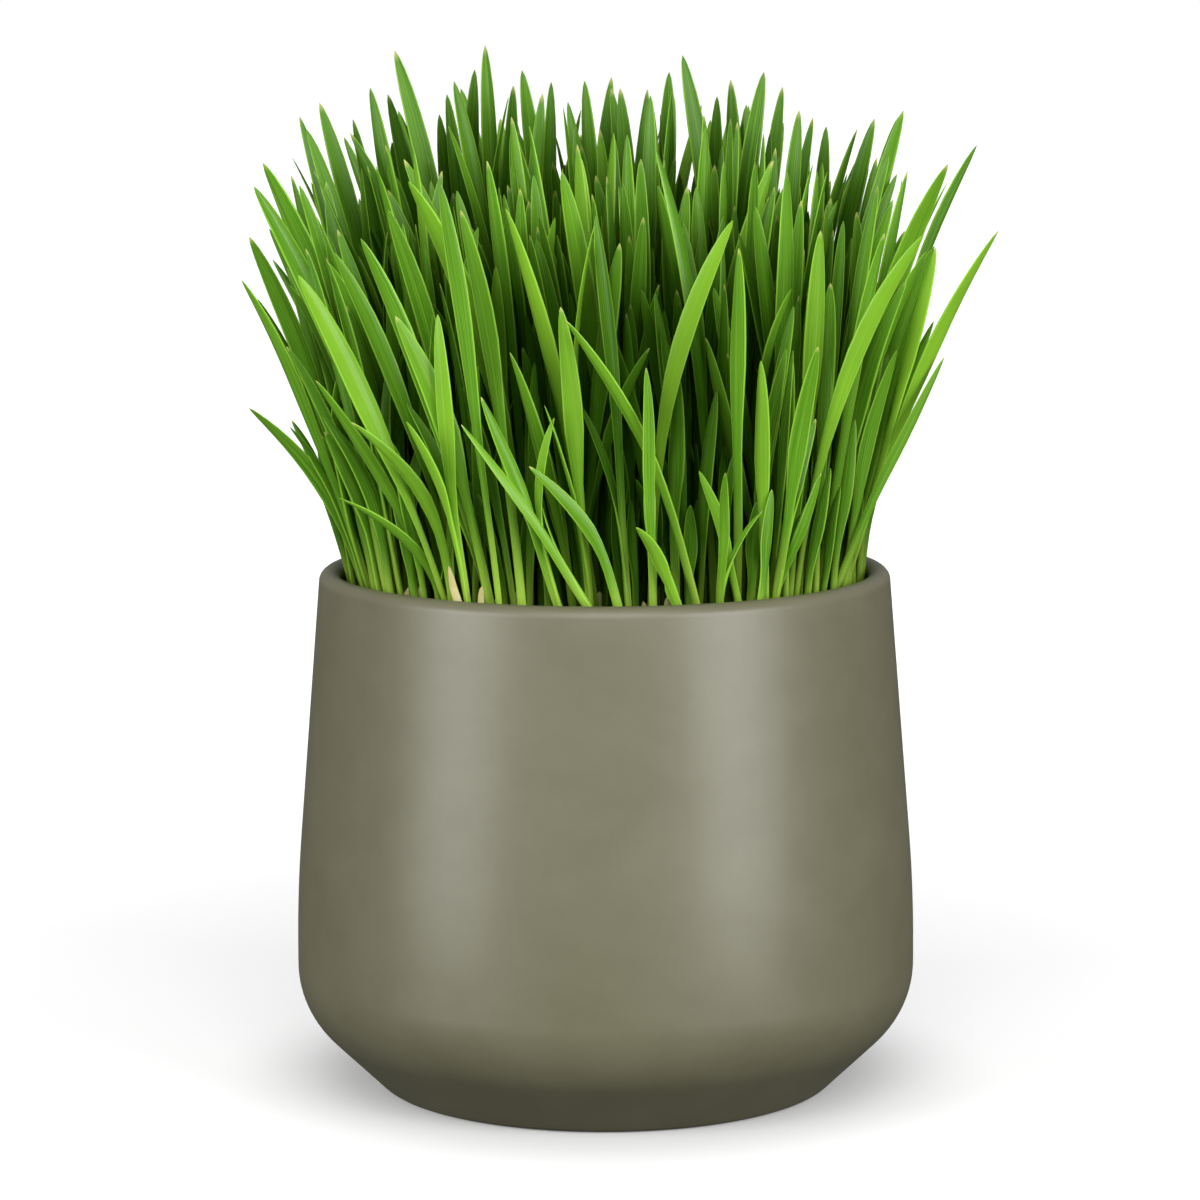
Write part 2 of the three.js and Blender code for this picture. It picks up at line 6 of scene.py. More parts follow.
import bpy
import numpy as np
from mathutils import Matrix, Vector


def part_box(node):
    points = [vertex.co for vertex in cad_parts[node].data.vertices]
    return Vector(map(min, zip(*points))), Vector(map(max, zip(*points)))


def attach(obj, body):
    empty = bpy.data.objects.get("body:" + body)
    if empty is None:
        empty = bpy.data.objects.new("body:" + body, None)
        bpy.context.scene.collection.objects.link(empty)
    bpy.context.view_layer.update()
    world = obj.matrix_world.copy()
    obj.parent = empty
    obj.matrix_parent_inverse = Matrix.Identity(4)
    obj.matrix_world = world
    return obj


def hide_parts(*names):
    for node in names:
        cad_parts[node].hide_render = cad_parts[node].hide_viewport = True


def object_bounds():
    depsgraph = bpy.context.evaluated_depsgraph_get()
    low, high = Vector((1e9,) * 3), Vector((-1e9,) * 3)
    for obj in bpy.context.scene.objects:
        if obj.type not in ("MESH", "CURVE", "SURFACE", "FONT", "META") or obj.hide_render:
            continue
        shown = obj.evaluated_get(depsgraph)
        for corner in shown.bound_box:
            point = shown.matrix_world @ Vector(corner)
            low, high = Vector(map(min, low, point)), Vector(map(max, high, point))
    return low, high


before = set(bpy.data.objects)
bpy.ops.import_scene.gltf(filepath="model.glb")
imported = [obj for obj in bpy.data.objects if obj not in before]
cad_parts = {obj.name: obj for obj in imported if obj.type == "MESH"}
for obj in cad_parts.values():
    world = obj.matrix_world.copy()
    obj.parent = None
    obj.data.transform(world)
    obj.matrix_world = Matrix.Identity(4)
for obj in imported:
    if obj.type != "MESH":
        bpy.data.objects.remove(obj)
cadBox = [list(corner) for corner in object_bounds()]
mm = 0.001
print("loaded", len(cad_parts), "solids")


# Small helpers

def mix(start, end, share):
    return start + (end - start) * share


def smoothStep(start, end, value):
    share = np.clip((value - start) / (end - start), 0, 1)
    return share * share * (3 - 2 * share)


def linearColour(hexCode):
    channels = [int(hexCode[at:at + 2], 16) / 255 for at in (1, 3, 5)]
    linear = [c / 12.92 if c <= 0.04045 else ((c + 0.055) / 1.055) ** 2.4 for c in channels]
    return (*linear, 1.0)


# The same counter-based draws as in the part's source, all at once; its mixing constants stand as they are
def seededDraws(seed, count):
    mask = np.uint64(0xFFFFFFFF)
    state = (np.uint64(seed) + np.arange(1, count + 1, dtype=np.uint64) * np.uint64(0x6D2B79F5)) & mask
    mixed = ((state ^ (state >> np.uint64(15))) * (state | np.uint64(1))) & mask
    again = ((mixed ^ (mixed >> np.uint64(7))) * (mixed | np.uint64(61))) & mask
    mixed = mixed ^ ((mixed + again) & mask)
    return (mixed ^ (mixed >> np.uint64(14))) / 2 ** 32


def drawTable(seed, rows, columns):
    return seededDraws(seed, rows * columns).reshape(rows, columns)


def addNode(tree, kind, inputs=None, **settings):
    node = tree.nodes.new(kind)
    count = len(tree.nodes)
    node.location = (count % 8 * 220, -(count // 8) * 300)
    for name, value in settings.items():
        setattr(node, name, value)
    for name, value in (inputs or {}).items():
        if isinstance(value, bpy.types.NodeSocket):
            tree.links.new(value, node.inputs[name])
        else:
            node.inputs[name].default_value = value
    return node


def calculate(tree, operation, first, second=0.0):
    return addNode(tree, "ShaderNodeMath", {0: first, 1: second}, operation=operation).outputs[0]


def combine(tree, operation, first, second):  # two vectors
    return addNode(tree, "ShaderNodeVectorMath", {0: first, 1: second}, operation=operation).outputs[0]


def scaled(tree, vector, scale):
    return addNode(tree, "ShaderNodeVectorMath", {0: vector, "Scale": scale}, operation="SCALE").outputs[0]


def split(tree, vector):
    return addNode(tree, "ShaderNodeSeparateXYZ", {"Vector": vector}).outputs


def namedValue(tree, name, kind="FLOAT"):
    return addNode(tree, "GeometryNodeInputNamedAttribute", {"Name": name}, data_type=kind).outputs[0]


def positionOf(tree):
    return addNode(tree, "GeometryNodeInputPosition").outputs[0]


def objectPlace(tree):
    return addNode(tree, "ShaderNodeTexCoord").outputs["Object"]


def noise(tree, place, scale, detail, roughness=0.5, output="Fac"):
    return addNode(tree, "ShaderNodeTexNoise", {
        "Vector": place, "Scale": scale, "Detail": detail, "Roughness": roughness}).outputs[output]


def ranged(tree, value, start, end, low=0.0, high=1.0, kind="SMOOTHSTEP"):
    return addNode(tree, "ShaderNodeMapRange", {
        "Value": value, "From Min": start, "From Max": end, "To Min": low, "To Max": high},
        interpolation_type=kind).outputs[0]


def mixColours(tree, share, first, second, blendType="MIX"):  # each a socket or an sRGB hex code
    first, second = [linearColour(each) if isinstance(each, str) else each for each in (first, second)]
    return addNode(tree, "ShaderNodeMix", {"Factor": share, "A": first, "B": second},
                   data_type="RGBA", blend_type=blendType).outputs["Result"]


def scatter(tree, points, instance, size, turn):
    turned = addNode(tree, "FunctionNodeEulerToRotation", {0: turn}).outputs[0]
    return addNode(tree, "GeometryNodeInstanceOnPoints", {
        "Points": points, "Instance": instance, "Scale": size, "Rotation": turned}).outputs[0]


def startTree(name, inputs):  # a Geometry Nodes tree with named inputs
    tree = bpy.data.node_groups.new(name, "GeometryNodeTree")
    tree.interface.new_socket("Geometry", in_out="INPUT", socket_type="NodeSocketGeometry")
    for label, kind in inputs.items():
        tree.interface.new_socket(label, in_out="INPUT", socket_type="NodeSocket" + kind)
    tree.interface.new_socket("Geometry", in_out="OUTPUT", socket_type="NodeSocketGeometry")
    return tree, addNode(tree, "NodeGroupInput").outputs


def endTree(tree, geometry, material):
    smooth = addNode(tree, "GeometryNodeSetShadeSmooth", {"Geometry": geometry})
    realized = addNode(tree, "GeometryNodeRealizeInstances", {"Geometry": smooth.outputs[0]})
    painted = addNode(tree, "GeometryNodeSetMaterial", {
        "Geometry": realized.outputs[0], "Material": material})
    addNode(tree, "NodeGroupOutput", {"Geometry": painted.outputs[0]})


def runTree(piece, tree, values):  # swaps the piece's mesh for what the tree makes of it
    modifier = piece.modifiers.new(tree.name, "NODES")
    modifier.node_group = tree
    for socket in tree.interface.items_tree:
        if socket.in_out == "INPUT" and socket.name in values:
            modifier[socket.identifier] = values[socket.name]
    evaluated = piece.evaluated_get(bpy.context.evaluated_depsgraph_get())
    made = bpy.data.meshes.new_from_object(evaluated)
    piece.modifiers.remove(modifier)
    piece.data = made
    made.name = piece.name
    return piece


def addObject(name, data):
    added = bpy.data.objects.new(name, data)
    bpy.context.scene.collection.objects.link(added)
    return added


def addPiece(name, vertices, edges=(), faces=()):
    mesh = bpy.data.meshes.new(name)
    mesh.from_pydata(vertices, edges, faces)
    mesh.update()
    return addObject(name, mesh)


def storeValues(piece, name, values, kind="FLOAT"):  # one value for each point
    attribute = piece.data.attributes.new(name, kind, "POINT")
    values = np.ascontiguousarray(values, np.float32).ravel()
    attribute.data.foreach_set("vector" if kind == "FLOAT_VECTOR" else "value", values)


def finishPiece(piece, slot, *nodes):
    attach(piece, "root")
    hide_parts(*nodes)


def startMaterial(name, roughness, ior=1.5):
    material = bpy.data.materials.new(name)
    material.use_nodes = True
    shader = material.node_tree.nodes["Principled BSDF"]
    shader.inputs["Roughness"].default_value = roughness
    shader.inputs["IOR"].default_value = ior
    return material, material.node_tree, shader


def paint(tree, shader, colour, height=None, strength=0.0, depth=0.0):  # the depth in millimetres
    tree.links.new(colour, shader.inputs["Base Color"])
    if height:
        bump = addNode(tree, "ShaderNodeBump", {
            "Height": height, "Strength": strength, "Distance": depth * mm})
        tree.links.new(bump.outputs[0], shader.inputs["Normal"])


def mottledMaterial(name, look):  # two colours mixed by a noise that also makes the bumps
    material, tree, shader = startMaterial(name, look["roughness"], look["ior"])
    mottle = noise(tree, objectPlace(tree), *look["mottle"])
    paint(tree, shader, mixColours(tree, mottle, *look["colours"]), mottle, *look["bump"])
    return material


# Outlines of turned pieces, in millimetres: (radius, height)

def arcPoints(x, z, radius, start, end, steps):
    angles = np.radians(np.linspace(start, end, steps + 1))
    return np.stack([x + radius * np.cos(angles), z + radius * np.sin(angles)], axis=1)


def straightPoints(start, end, steps):  # without its two ends
    shares = np.linspace(0, 1, steps + 1)[1:-1, None]
    return mix(np.array(start), np.array(end), shares)


def turnedPiece(name, outline, segments):  # the outline starts and ends on the axis
    angles = np.linspace(0, math.tau, segments, endpoint=False)
    vertices = []
    rings = []
    for radius, height in outline * mm:
        start = len(vertices)
        if radius < 1e-9:
            vertices.append((0, 0, height))
            rings.append([start] * segments)
        else:
            vertices.extend((radius * math.cos(a), radius * math.sin(a), height) for a in angles)
            rings.append(list(range(start, start + segments)))
    faces = []
    for lower, upper in zip(rings, rings[1:]):
        for here in range(segments):
            after = (here + 1) % segments
            corners = [lower[here], lower[after], upper[after], upper[here]]
            faces.append(list(dict.fromkeys(corners)))
    piece = addPiece(name, vertices, faces=faces)
    piece.data.polygons.foreach_set("use_smooth", [True] * len(faces))
    return piece


# The pot

pot = {
    "height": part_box("pot")[1].z / mm,
    "baseRadius": 45.3,
    "widestRadius": 62.5,
    "shoulderRadius": 19.4,   # the turn from the foot chamfer into the wall
    "chamferAngle": 44,
    "wallFootHeight": 28,     # upright here
    "wallBendHeight": 51,     # straight above here
    "wallLean": 4.58,
    "wallThickness": 4.5,
    "rimRadius": 2.25,
    "floorThickness": 6,
    "baseRounding": 1.6,
    "segments": 176,
    "baseRing": 0.9,          # of the way to the edge of the base
    "footSteps": 5,
    "chamferSteps": 6,
    "wallSteps": 7,
    "rimSteps": 12,
    "insideSteps": 5,
}
chamferRise = 90 - pot["chamferAngle"]
chamferSlope = math.tan(math.radians(pot["chamferAngle"]))
leanSlope = math.tan(math.radians(pot["wallLean"]))
shoulderX = pot["widestRadius"] - pot["shoulderRadius"]
chamferTopX = shoulderX + pot["shoulderRadius"] * math.cos(math.radians(chamferRise))
chamferTopZ = (chamferTopX - pot["baseRadius"]) * chamferSlope
shoulderZ = chamferTopZ + pot["shoulderRadius"] * math.sin(math.radians(chamferRise))
wallArcRadius = (pot["wallBendHeight"] - pot["wallFootHeight"]) / math.sin(math.radians(pot["wallLean"]))
rimCentreZ = pot["height"] - pot["rimRadius"]
bendX = pot["widestRadius"] - wallArcRadius * (1 - math.cos(math.radians(pot["wallLean"])))
rimX = bendX - (rimCentreZ - pot["wallBendHeight"]) * leanSlope


def wallPoints(inset, topZ, steps):  # shoulder, bowed wall and straight wall, moved inwards by the inset
    shoulder = arcPoints(shoulderX, shoulderZ, pot["shoulderRadius"] - inset, -chamferRise, 0, 2 * steps)
    bow = arcPoints(pot["widestRadius"] - wallArcRadius, pot["wallFootHeight"], wallArcRadius - inset,
                    0, pot["wallLean"], steps)
    top = (rimX - inset + (rimCentreZ - topZ) * leanSlope, topZ)
    return np.concatenate([shoulder, bow, straightPoints(bow[-1], top, steps), [top]])


def hollowOutline(gap, topZ, steps):  # the pot's inside from the middle of its floor up to a height
    inset = pot["wallThickness"] + gap
    floorZ = pot["floorThickness"] + gap
    wall = wallPoints(inset, topZ, steps)
    floorX = wall[0, 0] - (wall[0, 1] - floorZ) / chamferSlope
    return np.concatenate([[(0, floorZ), (floorX, floorZ)], wall])


def makePot():
    rounding = pot["baseRounding"]
    slant = math.radians(pot["chamferAngle"])
    foot = np.array([pot["baseRadius"], 0.0])
    before = foot - [rounding, 0]
    after = foot + rounding * np.array([math.cos(slant), math.sin(slant)])
    shares = np.linspace(0, 1, pot["footSteps"] + 1)[:, None]
    footCurve = mix(mix(before, foot, shares), mix(foot, after, shares), shares)
    wall = wallPoints(0, rimCentreZ, pot["wallSteps"])
    chamfer = straightPoints(footCurve[-1], wall[0], pot["chamferSteps"])
    rim = arcPoints(rimX - pot["rimRadius"], rimCentreZ, pot["rimRadius"], 0, 180, pot["rimSteps"])[1:-1]
    inside = hollowOutline(0, rimCentreZ, pot["insideSteps"])[::-1]
    base = [(0, 0), (before[0] * pot["baseRing"], 0)]
    outline = np.concatenate([base, footCurve, chamfer, wall, rim, inside])
    return turnedPiece("glazed_pot", outline, pot["segments"])


glaze = {
    "light": "#6d6b55",
    "dark": "#5e5b45",
    "speckle": "#4c4a36",
    "roughness": 0.42,
    "roughnessSpread": 0.06,
    "ior": 1.6,
    "cloudSize": 13,           # mottling of the glaze
    "cloud": (5, 0.6),         # detail and roughness of its noise
    "grainSize": 0.55,         # a real grain of 0.1 mm, drawn coarser so that it shows
    "grain": (3, 0.65),
    "speckles": (0.62, 0.74),  # from here on the grain turns dark
    "speckleShare": 0.24,
    "stretch": (1, 1, 1.35),   # the grain runs around the pot
    "bump": (0.12, 0.1),
}


# Stoneware with a satin matte glaze, dipped and fired: an even olive grey, faintly clouded,
# with a fine dry grain that breaks the highlights softly
def glazeMaterial():
    material, tree, shader = startMaterial("satinGlazedStoneware", glaze["roughness"], glaze["ior"])
    place = combine(tree, "MULTIPLY", objectPlace(tree), glaze["stretch"])
    cloud = noise(tree, place, 1 / (glaze["cloudSize"] * mm), *glaze["cloud"])
    grain = noise(tree, place, 1 / (glaze["grainSize"] * mm), *glaze["grain"])
    clouded = mixColours(tree, cloud, glaze["dark"], glaze["light"])
    flecks = ranged(tree, grain, *glaze["speckles"], 0.0, glaze["speckleShare"], "LINEAR")
    rough = ranged(tree, grain, 0.0, 1.0, glaze["roughness"] - glaze["roughnessSpread"],
                   glaze["roughness"] + glaze["roughnessSpread"], "LINEAR")
    tree.links.new(rough, shader.inputs["Roughness"])
    paint(tree, shader, mixColours(tree, flecks, clouded, glaze["speckle"]), grain, *glaze["bump"])
    return material


potPiece = makePot()
potPiece.data.materials.append(glazeMaterial())
finishPiece(potPiece, "glazed_pot", "pot")
print("pot turned")


# Root balls: the part's soil holds a disc and two rings of them, and each carries one tuft

rootBall = {
    "top": 98.6,
    "rootInset": 2.3,
    "ringGap": 1.4,
    "halfSplit": 0.7,
    # Inner and outer radius, count and starting angle
    "rings": [(0, 10.3, 1, -90), (11.7, 30.3, 6, -120), (31.7, 50.8, 12, -105)],
}
rootBalls = [
    {"inner": inner, "outer": outer, "whole": count == 1,
     "start": math.radians(start + 360 / count * at), "end": math.radians(start + 360 / count * (at + 1))}
    for inner, outer, count, start in rootBall["rings"] for at in range(count)
]
grassRadius = rootBalls[-1]["outer"]
fullTurn = math.tau


def ballAt(x, y):
    reach = math.hypot(x, y)
    angle = math.atan2(y, x)
    for index, ball in enumerate(rootBalls):
        inRing = reach < ball["outer"] + rootBall["ringGap"] / 2 or ball["outer"] == grassRadius
        if inRing and (ball["whole"] or (angle - ball["start"]) % fullTurn <= ball["end"] - ball["start"]):
            return index


def settleIn(ball, x, y):  # the nearest place for a root well inside its root ball
    reach = np.hypot(x, y)
    inset = rootBall["rootInset"]
    if ball["whole"]:
        share = np.minimum(reach, ball["outer"] - inset) / np.maximum(reach, 1e-12)
        return x * share, y * share
    radius = np.clip(reach, ball["inner"] + inset, ball["outer"] - inset)
    turn = (np.arctan2(y, x) - ball["start"]) % fullTurn
    margin = (rootBall["halfSplit"] + inset) / radius
    settled = ball["start"] + np.clip(turn, margin, ball["end"] - ball["start"] - margin)
    return radius * np.cos(settled), radius * np.sin(settled)


# The grass, by the same rule as the part's leaves, so that each of those grows here in its place

soilLevel = 98
grass = {
    "stemHalfWidth": 1.1,
    "openFrom": 0.05,
    "widestAt": 0.66,
    "tipPower": 2.6,
    "stemThickness": 1.5,
    "bladeThickness": 0.7,
    "thinAt": 0.6,
    "levelStep": 3,
    "levels": 38,
    "lowLevels": 6,            # tried first
    "gap": 0.35,
    "thicknessShare": 1.2,
    "attempts": 30,
    "sown": 1500,
    "rimClearance": 1.1,
    "forwardLean": 0.36,
}
eye = {"y": -900, "z": 228.4}
tipSlides = [0, -1.5, 1.5, -3, 3, -4.5, 4.5, -6, 6, -8, 8, -10, 10]
rootSlides = [0, 1.5, -1.5, 3, -3, 4.5]
rootSteps = [0, 1.5, -1.5, 3, -3]

sward = {
    "seed": 4100,
    "tipHeight": 182,
    "backRise": 9,
    "heightSpread": 24,
    "edgeDrop": 9,
    "shortShare": 0.13,
    "shortHeight": (122, 152),
    "lowestTip": 118,
    "highestTip": 206,
    "outwardLean": 15,
    "leanSpread": 13,
    "sidewaysDrift": -4,
    "width": (3.2, 5.2),
    "shortWidthShare": 0.75,
    "bend": (0.1, 0.8),
    "facingSpread": 60,
    "placedFacingSpread": 28,
    "drawsEach": 14,
    "shownWidth": 0.82,        # of the part's plain blade
    "placedWidth": (0.6, 0.82),   # of the placed leaves: low ones and tall ones
    "lowAndTall": (128, 178),
    # painted shade: the sown leaves, which stand between and behind those placed, are made a darker green
    "shownTone": 0.8,
    "shownHeight": (203, 189),  # at most: in the middle and at the sides
    "shownSpread": 12,
}

# What grows between the part's leaves: more seedlings, and a second leaf out of many sheaths
extra = {
    "seed": 9100,
    "seeds": 5000,
    "attempts": 12,
    "most": 900,
    "rootRadius": 51.2,
    "tenthsAtEdge": 3,           # of the seedlings stand in the outermost ring
    "edgeRadius": 46,
    "frontRoot": -43,            # no further forward, so that the placed leaves stay in front
    "frontTip": -46,
    "widthShare": 0.94,
    # painted shade: the leaves that fill the gaps are made darker still
    "toneShare": 0.7,
    "leftFree": (-27, -42, 7),   # x, y and radius of a place left free for two sprouts
    "loweredBy": (15, -9),       # at the front and at the back
    "facingSpread": 62,
    "shortShare": 0.2,
}
secondLeaf = {
    "seed": 15100,
    "share": 0.75,
    "attempts": 10,
    "height": (0.55, 1.04),
    "curl": (4, 14),
    "opensAt": (0.3, 0.5),
    "clearFrom": 0.16,     # past the sheath it stands clear of the others
    "drawsEach": 7,
    "widthShare": (0.75, 1.0),
    "toneSpread": 0.3,
    "toneMiddle": 0.3,
}

# Leaves that give the grass its outline and its front, placed one by one as in the part's source:
# root x and y, tip x, y and z, width, bend, tone (0 deep green, 1 yellow green)
placedLeaves = [
    # The front row, left to right
    (-47, -13, -69.5, -18, 139.5, 4.8, 0.5, 0.35),
    (-47.5, -9, -62, -14, 135, 3.2, 0.5, 0.3),
    (-45.5, -17.5, -70, -22, 165, 4.0, 0.2, 0.4),
    (-34.5, -35, -51, -41, 123.5, 3.8, 1.0, 0.65),
    (-35.5, -32, -51, -38, 153.5, 4.8, 0.5, 0.55),
    (-33, -36, -55, -44, 147, 4.4, 0.15, 0.6),
    (-30, -38.5, -48, -46, 138.5, 4.4, 0.9, 0.8),
    (-26.5, -41, -31.8, -43, 159.5, 4.6, -0.3, 0.85),
    (0.5, -47, -26.5, -51, 139.5, 3.4, 0.05, 0.75),
    (-7, -46.5, -23, -48, 144.2, 4.2, 0.1, 0.6),
    (4, -46.8, -14, -49, 131, 4.4, 0.6, 0.6),
    (-5.5, -42.5, -18.8, -44, 151.5, 5.0, 0.45, 0.65),
    (-2.5, -45, -8.3, -46, 161, 5.0, 0.2, 0.75),
    (19, -43.5, -7.5, -50, 158.5, 3.4, 0.45, 0.7),
    (10.8, -45.5, 8.3, -45, 149, 3.6, 0.1, 0.55),
    (13.8, -47, 6, -49, 119.7, 4.6, 0.4, 0.85),
    (8.5, -43.5, 24.4, -42, 177, 4.4, 0.85, 0.95),
    (27, -40.5, 18.3, -46, 129.3, 3.8, 0.3, 0.7),
    (22, -42.5, 23.3, -44, 129.5, 3.6, 0.3, 0.65),
    (31.3, -37.5, 30, -40, 150.3, 4.6, 0, 0.8),
    (36.5, -31.5, 61, -38, 174, 4.2, 0.6, 0.85),
    (34, -34.5, 41.7, -40, 128, 3.2, 0, 0.5),
    (46.5, -15.5, 77, -22, 173.5, 4.6, 0.3, 0.9),
    (44, -22, 66.3, -26, 149.3, 3.4, 0.1, 0.6),
    (-25, -38, -24.2, -40, 149.5, 3.2, 0, 0.45),
    (-12, -43.5, -13.3, -40, 150, 3.4, 0, 0.5),
    # The tall leaves behind the front row
    (-1, -41, -19.3, -42, 179, 4.8, 0.35, 0.95),
    (-12, -40, -37, -42, 184.8, 6.2, 0.6, 0.75),
    (-15, -43, -27.3, -38, 179, 4.6, 0.4, 0.6),
    (-14, -35, -22.3, -30, 188, 3.8, 0.3, 0.45),
    (-24, -35, -41.2, -36, 179.3, 4.8, 0.4, 0.4),
    (-21, -37, -46.4, -38, 173.6, 4.2, 0.25, 0.35),
    (-27, -35, -51.5, -38, 171, 4.2, 0.25, 0.45),
    (-29, -37, -58.2, -40, 166.8, 4.4, 0.2, 0.85),
    (-21, -41, -39.5, -44, 159.2, 4.6, 0.4, 0.7),
    (-25, -30, -37.5, -34, 165.7, 3.8, 0.3, 0.4),
    (-29, -26, -34.7, -28, 171.7, 3.4, 0.2, 0.35),
    (-17, -38, -20.8, -36, 168, 4.2, 0.1, 0.7),
    (-14, -24, -16, -22, 182.4, 3.8, 0.2, 0.35),
    (-9, -22, -13.6, -20, 184.7, 3.8, 0.2, 0.4),
    (3, -38.5, -8, -38, 186.3, 5.0, 0.45, 0.65),
    (0, -34, -12.5, -33, 170, 3.4, 0.2, 0.5),
    (-6, -38, 3, -38, 172.6, 4.6, 0.1, 0.55),
    (14, -39.5, 0.5, -40, 156.5, 4.2, 0.2, 0.6),
    (6, -36, 4, -36, 159, 3.6, 0.1, 0.5),
    (17, -39, 10.7, -36, 162.8, 3.8, 0, 0.6),
    (31, -32.5, 18.9, -40, 154.2, 4.2, 0.1, 0.6),
    (33, -29, 21.2, -36, 163.5, 4.2, 0.2, 0.5),
    (25.5, -38, 25.7, -37, 171.5, 4.2, 0, 0.55),
    (45.5, -18, 57, -35, 165, 5.4, 0.6, 0.5),
    (46, -11, 64.1, -20, 166.3, 4.4, 0.1, 0.5),
    (47, -7, 64.8, -14, 155.5, 3.2, 0.2, 0.45),
    (45, -4.5, 66.5, -24, 187, 6.0, 0.5, 0.7),
    (46, -0.5, 61, -8, 184.2, 3.8, 0.3, 0.5),
    (43, -13, 62.5, -22, 170, 4.4, 0.4, 0.5),
    (37, -30.5, 41.7, -34, 174.6, 5.4, 0, 0.75),
    (36, -33, 40.8, -38, 153, 3.6, 0.1, 0.5),
    (41, -16, 56, -22, 179.7, 3.8, 0.3, 0.5),
    (42, -22.5, 54, -27, 173.8, 3.6, 0.2, 0.45),
    (33, -24, 38.3, -22, 179.7, 3.8, 0.2, 0.4),
    (33, -28, 35.8, -30, 185.8, 4.2, 0.1, 0.5),
    (35, -26, 29.2, -28, 178.8, 4.0, 0.1, 0.5),
    (17, -24, 33.5, -16, 187, 4.4, 0.6, 0.7),
    (40, -26, 43.9, -28, 164.3, 4.2, 0.1, 0.45),
    (3, -29, 7.7, -30, 177, 4.0, 0.2, 0.4),
    (18, -33, 7.2, -34, 163.8, 3.8, 0.2, 0.5),
    (20, -25, 10.7, -24, 183, 4.2, 0.3, 0.4),
    (9, -23, 3.2, -24, 183, 4.0, 0.2, 0.45),
    # The left edge
    (-47, -4, -69, -20, 173, 4.8, 0.3, 0.25),
    (-39, -20, -68.3, -18, 182.5, 5.2, 0.45, 0.4),
    (-43, -5.5, -66.8, -8, 187, 5.0, 0.5, 0.3),
    (-46, 4, -63, 2, 183.5, 3.8, 0.3, 0.4),
    (-40, -14, -59.7, -12, 182.5, 3.6, 0.3, 0.35),
    # The tips along the skyline, left to right
    (-44, 13, -61.8, 16, 194.7, 4.4, 0.4, 0.25),
    (-41, 8, -59.3, 10, 192.5, 4.2, 0.5, 0.4),
    (-40, 20, -57.6, 22, 197.4, 4.6, 0.4, 0.3),
    (-38, 27, -51.3, 26, 193.9, 4.2, 0.3, 0.4),
    (-34, 17, -48, 20, 200.3, 4.8, 0.4, 0.35),
    (-30, 24, -43.7, 24, 199, 4.2, 0.4, 0.25),
    (-27, 13, -42.2, 22, 207.9, 4.8, 0.5, 0.4),
    (-26, 32, -33.6, 30, 194.7, 4.2, 0.2, 0.3),
    (-24, 26, -32.2, 27, 198.8, 4.2, 0.3, 0.4),
    (-18, 22, -30.4, 20, 201.7, 4.2, 0.5, 0.35),
    (-33, 33, -26.3, 30, 203.8, 4.2, 0.2, 0.25),
    (-20, 26, -24.3, 26, 208.8, 4.4, 0.3, 0.4),
    (-22, 29, -18.4, 32, 200.5, 4.0, 0.3, 0.3),
    (-8, 24, -16.5, 24, 203.8, 4.6, 0.4, 0.4),
    (-19, 18, -12.3, 18, 199.2, 4.0, 0.3, 0.35),
    (-11, 33, -10.8, 34, 201.1, 3.6, 0.2, 0.25),
    (2, 20, -7, 20, 197.5, 4.4, 0.4, 0.4),
    (0, 28, -3.6, 28, 201.5, 4.4, 0.3, 0.3),
    (-6, 29, 1.8, 34, 202, 4.0, 0.3, 0.4),
    (9, 26, 3.4, 26, 200, 4.4, 0.4, 0.35),
    (3, 24, 9.2, 22, 199.9, 4.0, 0.3, 0.25),
    (9, 33, 13.6, 32, 203.1, 4.6, 0.3, 0.4),
    (27, 22, 16.5, 24, 206.8, 5.2, 0.5, 0.3),
    (21, 29, 23.4, 30, 198.2, 4.2, 0.2, 0.4),
    (29, 26, 25.6, 26, 201.6, 4.8, 0.3, 0.35),
    (24, 18, 32.6, 20, 203.4, 4.8, 0.4, 0.25),
    (28, 33, 36.6, 30, 200.1, 4.4, 0.3, 0.4),
    (33, 13, 39.6, 14, 195.9, 4.4, 0.3, 0.3),
    (41, 21, 45.2, 22, 192.3, 4.2, 0.2, 0.4),
    (35, 15, 51.3, 16, 192, 4.4, 0.5, 0.35),
    (40, 17, 55.1, 20, 193.9, 4.8, 0.5, 0.25),
    (43, 9, 59.5, 12, 194.6, 4.4, 0.4, 0.4),
    (37, 30, 40.9, 32, 188.6, 4.2, 0.2, 0.3),
]

# The leaves as they look: each is skinned on a guide line
blade = {
    "ringsAt": [0, 0.05, 0.12, 0.2, 0.29, 0.38, 0.47, 0.55, 0.63, 0.7, 0.77, 0.83,
                0.885, 0.93, 0.965, 0.988, 1],
    "sunk": 3,                 # below the soil
    "stemHalfWidth": (0.6, 0.9),
    "stemThickness": 1.1,
    "thickness": 0.26,
    "tipHalfWidth": 0.07,
    "tipLength": 24,
    "longestTip": 0.36,        # of the height
    "tipBluntness": 0.58,
    "usualWidth": 4.6,
    "rolledTo": (0.2, 0.42),   # the stem is rolled up to this share of the height
    "quickestOpening": 0.25,
    "openingPower": 1.5,
    "rimClearance": 0.7,
    "stemRoom": 0.9,           # least distance between two stems' edges, and between two blades
    "bladeRoom": 0.28,
    "channel": (0.1, 0.5),     # depth of the blade's channel, as a share of its half width
    "channelPower": 1.4,
    "channelMiddle": 0.5,
    "flattening": 0.5,         # of the section, from a round stem to a blade
    "twist": 34,
    "twistFrom": 0.35,
    "wave": 0.9,
    "wavesEach": 1.2,
    "tipCurl": 2.4,
    "curlMiddle": 0.35,
    "curlFrom": 0.6,
    "thinFrom": 0.9,
    "thinTo": 0.35,
    "sides": 12,
    "seed": 23000,
}
